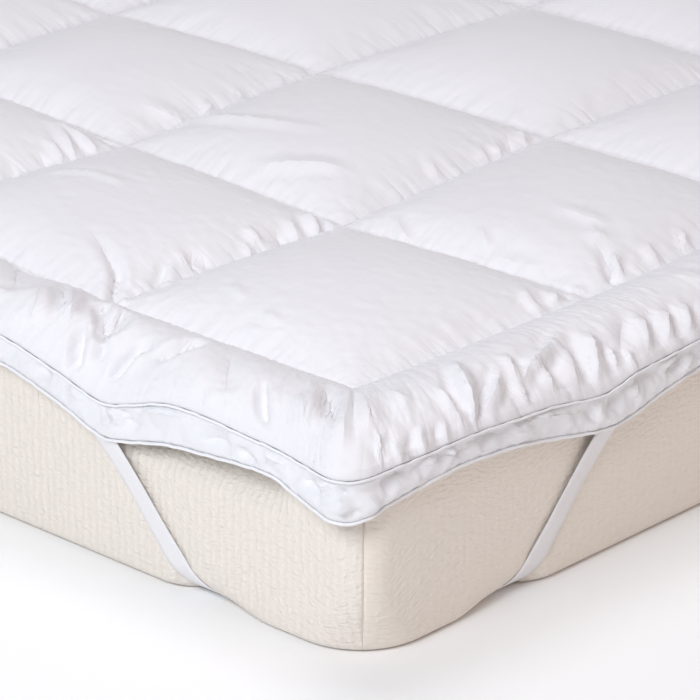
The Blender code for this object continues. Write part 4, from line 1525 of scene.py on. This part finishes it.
@dataclass
class StrapPath:
    """Where one strap runs: down one side, under the mattress's corner and up the other."""

    corner: int
    top_distance: float = 0.297
    slope: float = 0.82
    pinch_radius: float = 0.030
    lift: float = 0.0022
    contact_run: float = 0.030
    standoff: float = 0.0078
    lean_power: float = 1.9
    side_bulge: float = 0.001
    end_gap: float = 0.0006

    @property
    def signs(self) -> tuple[int, int]:
        """Signs of X and Y at this corner."""
        return (-1 if self.corner in (0, 3) else 1), (-1 if self.corner in (0, 1) else 1)

    def straight(self, limb: Limb) -> float:
        """Length of a limb above its bend, along the flat pattern's height."""
        table = PLAIN_EDGE
        if self.corner == 0:
            table = LEFT_EDGE if limb is Limb.ON_X_SIDE else FRONT_EDGE
        key = np.array(self.top_distance / MM)
        top = float(smooth_rows(table, key, 2)) * MM + self.end_gap
        return top - self.pinch_radius - self.lift

    @property
    def quarter(self) -> float:
        """Length of the bend round the mattress's lower edge."""
        return self.pinch_radius * math.pi / 2

    def centre(self, limb: Limb, climb: Array) -> Array:
        """How far the strap's middle is from the corner after it has climbed."""
        return self.top_distance - self.slope * (self.quarter + self.straight(limb) - climb)

    def lean(self, limb: Limb, risen: Array) -> Array:
        """How far the strap stands out from the side after it has risen."""
        free = np.maximum(risen - self.contact_run, 0.0) / (self.straight(limb) - self.contact_run)
        held = np.minimum(risen / self.contact_run, 1.0)
        return self.side_bulge * held + self.standoff * free ** self.lean_power


@dataclass
class Strap:
    """A flat elastic band across one corner."""

    name: str
    node: str
    path: StrapPath
    width: float = STRAP_WIDTH
    thickness: float = 0.0012
    gap: float = 0.0005
    raised_edge: float = 0.0026
    edge_power: float = 1.2

    def section(self, limb: Limb, climb: float) -> Array:
        """Points round the strap's section after it has climbed, in the bed's frame.

        Args:
            limb: Which half of the strap.
            climb: Distance climbed from the mattress's base, in metres.

        Returns:
            Twelve points, round the section.
        """
        path = self.path
        slant = self.width / 2 * math.hypot(1, path.slope)
        mid = self.gap + self.thickness / 2
        outer, inner = self.gap + self.thickness, self.gap
        across = (-0.965, -0.5, 0.0, 0.5, 0.965)
        shape = [*((share, outer) for share in across), (1.0, mid),
                 *((share, inner) for share in across[::-1]), (-1.0, mid)]
        centre = float(path.centre(limb, np.array(climb)))
        sign_x, sign_y = path.signs
        risen = climb - path.quarter
        rise = min(max(risen / path.straight(limb), 0.0), 1.0)
        points = []
        for edge, skin in shape:
            if risen <= 0:
                angle = climb / path.pinch_radius
                outward = -path.pinch_radius + (path.pinch_radius + skin) * math.sin(angle)
                height = path.lift + path.pinch_radius - (path.pinch_radius + skin) * math.cos(angle)
            else:
                tilt = self.raised_edge * (1 - edge) / 2 * math.sin(math.pi * rise) ** self.edge_power
                outward = float(path.lean(limb, np.array(risen))) + skin + tilt
                height = path.lift + path.pinch_radius + risen
            inset = centre + edge * slant
            if limb is Limb.ON_X_SIDE:
                x, y = BED.width / 2 + outward, BED.length / 2 - inset
            else:
                x, y = BED.width / 2 - inset, BED.length / 2 + outward
            points.append((sign_x * x, sign_y * y, height))
        return np.array(points)

    def build(self, material: Material) -> None:
        """Build the band from its sections."""
        path = self.path
        halves = []
        for limb in Limb:
            climbs = np.concatenate([np.linspace(0, path.quarter, 11),
                                     path.quarter + path.straight(limb)
                                     * np.linspace(0, 1, 22)[1:]])
            halves.append([self.section(limb, float(climb)) for climb in climbs])
        start, end = halves[0][0], halves[1][0]
        under = [start + (end - start) * share for share in np.linspace(0, 1, 9)[1:-1]]
        sections = np.array(halves[0][::-1] + under + halves[1])
        count = sections.shape[1]
        middles = sections.mean(axis=1)
        length = np.concatenate([[0.0], np.cumsum(np.linalg.norm(np.diff(middles, axis=0), axis=1))])
        girth = closed_run(sections[len(sections) // 2])
        numbers = np.arange(len(sections) * count).reshape(-1, count)
        faces, places = ring_faces(numbers, girth, length)
        faces += [numbers[0].tolist(), numbers[-1].tolist()]
        places += [(0.0, 0.0)] * (2 * count)
        band = make_piece(self.name, sections.reshape(-1, 3), faces, places)
        face_outwards(band)
        hand_over(band, material, "elastic", self.node)


# The mattress ---------------------------------------------------------------------------


@dataclass
class FoamMattress:
    """Soft foam block in a knitted cover, pinched in where the straps wrap under it."""

    straps: Sequence[StrapPath]
    top_radius: float = 0.022
    base_radius: float = 0.010
    pinched_radius: float = 0.0292
    bulge: float = 0.001
    pinch_rows: tuple[float, ...] = (0.112, 0.064, 0.181, 0.240, 0.048)
    drawn_in: float = 0.021
    drawn_along: tuple[float, ...] = (0.075, 0.045, 0.300, 0.050)
    drawn_above: Pair = (0.108, 0.034)
    arc_steps: int = 40
    arc_crowding: float = 1.6
    fine_step: float = 0.0045
    near_step: float = 0.009
    plain_step: float = 0.016
    near_end: float = 0.336
    plain_start: float = 0.340
    seam_depth: float = 0.0026
    seam_width: float = 0.0013
    gathers: float = 0.0011
    gathered_reach: float = 0.015
    panel_gap: float = 0.5
    strap_reach: float = 0.4
    # weaker ribs also keep the end panels' colour nearer the darker, painted-shade colour
    end_panel_ribs: float = 0.15
    base_ribs: float = 0.2
    side: Array = field(init=False)
    on_arc: Array = field(init=False)
    turn: Array = field(init=False)
    along: Array = field(init=False)
    owner: Array = field(init=False)

    def __post_init__(self) -> None:
        """Lay the stations out: side, whether on the corner's arc, turn there, distance along."""
        rows: list[tuple[int, bool, float, float]] = []
        for side in Side:
            length = BED.side_length(side)
            start_step = self.fine_step if side is Side.FRONT else self.near_step
            end_step = self.fine_step if side is Side.LEFT else self.near_step
            near = np.arange(BED.mattress_corner_radius, self.near_end, start_step)
            count = round((length - 2 * self.plain_start) / self.plain_step)
            middle = np.linspace(self.plain_start, length - self.plain_start, count)
            far = length - np.arange(BED.mattress_corner_radius, self.near_end, end_step)[::-1]
            rows += [(side.value, False, 0.0, d) for d in np.concatenate([near, middle, far])]
            for step in range(1, self.arc_steps):
                away = 2 * step / self.arc_steps - 1
                turn = 0.5 + 0.5 * math.copysign(abs(away) ** self.arc_crowding, away)
                rows.append((side.value, True, turn, 0.0))
        self.side, self.on_arc, self.turn, self.along = (np.array(row) for row in zip(*rows))
        # the cloth changes from one side's panel to the next one's at the middle of an arc
        self.owner = (self.side + (self.turn >= 0.5 - 1e-9)) % 4

    def pinch(self, from_corner: Array) -> Array:
        """How much a strap pinches the base edge, 0 to 1."""
        starts, onset, peak, ends, fade = self.pinch_rows
        share = np.where(from_corner < peak, (from_corner - starts) / onset,
                         (ends - from_corner) / fade)
        return smooth_step(share)

    def section(self, from_corner: Array) -> tuple[Array, Array]:
        """Outward and height of each level of the section at every station."""
        squeezed = self.pinch(from_corner)
        base = self.base_radius * (1 - squeezed) + self.pinched_radius * squeezed
        angles = np.linspace(0, math.pi / 2, 10)
        outward = [-base * (1 - math.sin(a)) for a in angles]
        height = [base * (1 - math.cos(a)) for a in angles]
        for level in np.linspace(0.034, 0.150, 27):
            share = min(level / 0.1, 1.0)
            outward.append(np.full_like(base, self.bulge * share * (2 - share)))
            height.append(np.full_like(base, level))
        for a in np.linspace(0, math.pi / 2, 9):
            outward.append(np.full_like(base, -self.top_radius * (1 - math.cos(a))))
            height.append(np.full_like(base, BED.height - self.top_radius * (1 - math.sin(a))))
        return np.array(outward), np.array(height)

    def wall_rings(self) -> Array:
        """Rings of points from the base edge up the side and over the top edge."""
        length = np.array([BED.side_length(side) for side in Side])[self.side]
        distance, turn = self.along, self.turn
        from_corner = np.where(self.on_arc, 0.0, np.minimum(distance, length - distance))
        outward, height = self.section(from_corner)
        start, along, normal = (np.array(parts)[self.side]
                                for parts in zip(*(BED.side_frame(side) for side in Side)))
        angle = turn * math.pi / 2
        facing = normal * np.cos(angle)[:, None] + along * np.sin(angle)[:, None]
        by_seen_corner = (self.side == Side.LEFT.value) & ~self.on_arc & (distance > 1)
        away = np.where(by_seen_corner, from_corner, 0.0)
        begins, onset, ends, fade = self.drawn_along
        drawn = smooth_step((away - begins) / onset) * smooth_step((ends - away) / fade)
        lowest, rise = self.drawn_above
        rings = []
        for out, level in zip(outward, height):
            out = out - self.drawn_in * drawn * smooth_step((level - lowest) / rise)
            radius = smooth_rows(CORNER_RADII, level, 1)[:, None]
            centre = start + along * (length[:, None] - radius) - normal * radius
            from_seam = np.abs(turn - 0.5) * math.pi / 2 * radius[:, 0]
            relief = self.seam_relief(from_seam, turn > 0.5, level)
            shaped = (out + np.where(self.on_arc, relief, 0.0))[:, None]
            plan = np.where(self.on_arc[:, None], centre + facing * (radius + shaped),
                            start + along * distance[:, None] + normal * shaped)
            rings.append(np.column_stack([plan, level]))
        return np.array(rings)

    def seam_relief(self, away: Array, beyond: Array, level: Array) -> Array:
        """In and out of the cover beside the upright corner seam, which gathers it."""
        up = smooth_step((level - 0.006) / 0.02) * smooth_step((0.170 - level) / 0.02)
        groove = -self.seam_depth * np.exp(-(away / self.seam_width) ** 2)
        lumps = ripple(level + away * 0.35, 0.0150, 1.7) + 0.6 * ripple(level - away, 0.0085, 0.3)
        lumps = lumps * np.where(beyond, 0.25, 1.0 + 0.8 * smooth_step((0.09 - level) / 0.06))
        spread = np.exp(-away / self.gathered_reach) * (1 - np.exp(-away / 0.003))
        return up * (groove + self.gathers * lumps * spread)

    def cloth_run(self, levels: Array) -> Array:
        """Distance along each side's own cloth, at both ends of every step of every ring.

        Args:
            levels: Height of each ring.

        Returns:
            For each ring and station, the distances where its step starts and ends.
        """
        lengths = np.array([BED.side_length(side) for side in Side])
        starts = np.concatenate([[0.0], np.cumsum(lengths + self.panel_gap)])[self.owner]
        radius = smooth_rows(CORNER_RADII, levels, 1)[:, None]
        found = []
        for shift in (0, -1):
            side, on_arc, turn, along = (np.roll(values, shift) for values in
                                         (self.side, self.on_arc, self.turn, self.along))
            arc = radius * turn * math.pi / 2
            on_own = starts + lengths[side] - radius + arc
            on_next = starts + radius - (radius * math.pi / 2 - arc)
            on_cloth = np.where(side == self.owner, on_own, on_next)
            found.append(np.where(on_arc, on_cloth, starts + along))
        return np.dstack(found)

    def rib_strength(self) -> Array:
        """How high the cover's ribs stand at each station; the end panels are stretched flat."""
        on_end = np.isin(self.owner, (Side.FRONT.value, Side.BACK.value))
        # with weaker ribs the end panels' colour also stays nearer the darker hollow colour: painted
        # shade on these sides
        return np.where(on_end, self.end_panel_ribs, 1.0)

    def press(self, points: Array) -> Array:
        """Press the foam in softly wherever a strap lies on it."""
        pressed = points.copy()
        for path in self.straps:
            sign_x, sign_y = path.signs
            local = np.column_stack([BED.width / 2 - sign_x * pressed[:, 0],
                                     BED.length / 2 - sign_y * pressed[:, 1], pressed[:, 2]])
            self.press_under(path, local)
            for limb, (out_axis, run_axis) in ((Limb.ON_X_SIDE, (0, 1)), (Limb.ON_Y_SIDE, (1, 0))):
                self.press_side(path, limb, local, out_axis, run_axis)
            pressed = np.column_stack([sign_x * (BED.width / 2 - local[:, 0]),
                                       sign_y * (BED.length / 2 - local[:, 1]), local[:, 2]])
        return pressed

    def press_side(self, path: StrapPath, limb: Limb, local: Array, out_axis: int,
                   run_axis: int) -> None:
        """Press one side and its lower edge behind one limb of a strap."""
        radius, rise = path.pinch_radius, path.pinch_radius + path.lift
        outward, run, height = -local[:, out_axis], local[:, run_axis], local[:, 2]
        slant = STRAP_WIDTH / 2 * math.hypot(1, path.slope)
        low = (outward > -radius) & (height < rise) & (run < self.strap_reach)
        across, down = outward[low] + radius, rise - height[low]
        angle, spread = np.arctan2(across, down), np.hypot(across, down)
        beside = np.abs(run[low] - path.centre(limb, angle * radius)) - slant
        weight = smooth_step(1 - beside / 0.007)
        tight = spread + (np.minimum(spread, radius) - spread) * weight
        local[low, out_axis] = radius - tight * np.sin(angle)
        local[low, 2] = rise - tight * np.cos(angle)
        high = ((outward > -0.004) & (height >= rise) & (height < 0.13)
                & (run < self.strap_reach))
        risen = height[high] - rise
        beside = np.abs(run[high] - path.centre(limb, path.quarter + risen)) - slant
        weight = smooth_step(1 - beside / 0.010)
        dent = 0.0010 * smooth_step(1 - risen / 0.05)
        limit = path.lean(limb, risen) - dent
        pressed = outward[high] + (np.minimum(outward[high], limit) - outward[high]) * weight
        local[high, out_axis] = -pressed

    @staticmethod
    def press_under(path: StrapPath, local: Array) -> None:
        """Press a shallow channel in the underside where a strap crosses the corner."""
        reach_x = float(path.centre(Limb.ON_X_SIDE, np.array(0.0))) + path.pinch_radius
        under = (local[:, 2] < 0.004) & (local[:, 0] > 0.020) & (local[:, 1] > 0.020)
        middle = np.abs(local[under, 0] + local[under, 1] - reach_x) / math.sqrt(2)
        away = middle - 0.0118
        weight = smooth_step(1 - away / 0.008)
        local[under, 2] = np.maximum(local[under, 2], 0.0022 * weight)

    def build(self, material: Material) -> None:
        """Build the closed block."""
        walls = self.wall_rings()
        base = walls[0]
        insets = np.concatenate([np.arange(0.034, 0.150, 0.006), [0.20, 0.30, 0.42, 0.55]])
        half = np.array([BED.width / 2, BED.length / 2])
        outline = base[:, :2] * (1 + self.base_radius / half)
        under = [np.column_stack([outline * (1 - inset / half), np.zeros(len(outline))])
                 for inset in insets[::-1]]
        top = [np.column_stack([walls[-1][:, :2] * scale, walls[-1][:, 2]])
               for scale in (0.96, 0.85, 0.6, 0.3)]
        rings = np.array(under + list(walls) + top)
        count, stations = rings.shape[:2]
        points = self.press(rings.reshape(-1, 3))
        numbers = np.arange(count * stations).reshape(count, stations)
        steps = np.linalg.norm(np.diff(rings, axis=0), axis=2)
        climbed = np.concatenate([np.zeros((1, stations)), np.cumsum(steps, axis=0)])
        climbed -= climbed[len(under)]
        climbed = np.column_stack([climbed, climbed[:, 0]])
        run = self.cloth_run(rings[:, :, 2].mean(axis=1))
        faces, places = ring_faces(numbers, run, climbed, flip=True)
        for ring, centre in ((numbers[0], len(points)), (numbers[-1][::-1], len(points) + 1)):
            cap, cap_places = cap_faces(ring, centre)
            faces, places = faces + cap, places + cap_places
        caps = np.array([[0, 0, 0.0], [0, 0, BED.height]])
        block = make_piece("foam_mattress", np.vstack([points, caps]), faces, places)
        ribbed = np.concatenate([np.tile(self.rib_strength(), count), [self.base_ribs] * 2])
        keep_values(block, ribbed=ribbed)
        face_outwards(block)
        hand_over(block, material, "mattress_cover", "mattress")


# The studio -----------------------------------------------------------------------------


@dataclass(frozen=True)
class Studio:
    """Pale floor, plain soft light and the picture's camera."""

    azimuth: float = -46.827
    elevation: float = 22.273
    lens: float = 212.347
    target: Triple = (-0.5293, -0.824, 0.1845)
    distance: float = 3.5605
    floor_light: str = "#FFFFFF"
    floor_shade: str = "#FCFCFC"
    surround: str = "#FBFCFF"
    surround_strength: float = 0.355
    lit_place: Triple = (-0.4, -0.6, 0.15)

    def set_up(self) -> None:
        """Add the camera, the floor and the lights."""
        bpy.context.scene.view_settings.view_transform = "Standard"
        self.add_camera()
        self.add_floor()
        self.add_lights()

    def add_camera(self) -> None:
        """Stand the camera where the picture was taken from."""
        turn, tilt = math.radians(self.azimuth), math.radians(self.elevation)
        back = Vector((math.sin(turn) * math.cos(tilt), -math.cos(turn) * math.cos(tilt),
                       math.sin(tilt)))
        camera = bpy.data.objects.new("camera", bpy.data.cameras.new("camera"))
        camera.data.lens, camera.data.sensor_width = self.lens, 36.0
        camera.data.clip_end = 60.0
        camera.location = Vector(self.target) + back * self.distance
        camera.rotation_euler = back.to_track_quat("Z", "Y").to_euler()
        bpy.context.scene.collection.objects.link(camera)
        bpy.context.scene.camera = camera

    def add_floor(self) -> None:
        """Lay a wide pale floor under the mattress."""
        bpy.ops.mesh.primitive_plane_add(size=30.0, location=(0, 0, -0.0002))
        floor = bpy.context.active_object
        floor.name = "floor"
        paper = new_material("matt_paper_floor", Roughness=0.95)
        place = add_node(paper.node_tree, "TexCoord", output="Object")
        tone = stretched_noise(paper.node_tree, place, (2.0, 2.0, 2.0), 1.0)
        tint(paper, tone, self.floor_light, self.floor_shade)
        floor.data.materials.append(paper)

    def add_lights(self) -> None:
        """Light it softly from the left, the front and all round."""
        for name, place, size, energy, colour in (
                ("left_softbox", (-3.6, -1.6, 2.8), 1.8, 97.0, "#F5F9FF"),
                ("front_softbox", (0.6, -4.2, 1.8), 2.0, 13.0, "#FFC296"),
                ("top_softbox", (0.2, 0.6, 4.2), 2.2, 52.0, "#FFFCFF")):
            lamp = bpy.data.lights.new(name, "AREA")
            lamp.shape, lamp.size, lamp.energy = "SQUARE", size, energy
            lamp.color = linear(colour)[:3]
            item = bpy.data.objects.new(name, lamp)
            item.location = place
            aim = Vector(place) - Vector(self.lit_place)
            item.rotation_euler = aim.to_track_quat("Z", "Y").to_euler()
            bpy.context.scene.collection.objects.link(item)
        world = bpy.data.worlds.new("white_studio")
        bpy.context.scene.world = world
        world.use_nodes = True
        background = world.node_tree.nodes["Background"]
        background.inputs["Color"].default_value = linear(self.surround)
        background.inputs["Strength"].default_value = self.surround_strength


def main() -> None:
    """Build every piece in order."""
    logging.basicConfig(level=logging.INFO, format="%(name)s %(message)s")
    Studio().set_up()
    quilt = QuiltGrid()
    edge = EdgeRun(quilt)
    percale = CottonPercale().make()
    gusset_cloth = CottonPercale(name="cotton_percale_single", light="#F3F3F6", shade="#ECECEF",
                                 relief=0.0050).make()
    cord_cloth = SpunThread("white_piping_cord", "#F6F6F8", "#F0F0F3", 700.0, relief=0.00006).make()
    thread = SpunThread("white_sewing_thread", "#F1F1F5", "#E2E2EA", 900.0).make()
    elastic = WovenElastic().make()
    QuiltedBody(quilt, edge).build(percale)
    Stitching(quilt).build(thread)
    Gusset(edge).build(gusset_cloth)
    Piping("upper_piping", "piping_upper", edge, True, 0.0013, 0.0009, 0.0012).build(cord_cloth)
    Piping("lower_piping", "piping_lower", edge, False, 0.0008, 0.0001, 0.0014).build(cord_cloth)
    paths = [StrapPath(corner) for corner in range(4)]
    for path, place in zip(paths, ("front_left", "front_right", "back_right", "back_left")):
        Strap(f"{place}_elastic", f"strap_{place}", path).build(elastic)
    FoamMattress(paths).build(KnittedCover().make())


if __name__ == "__main__":
    main()
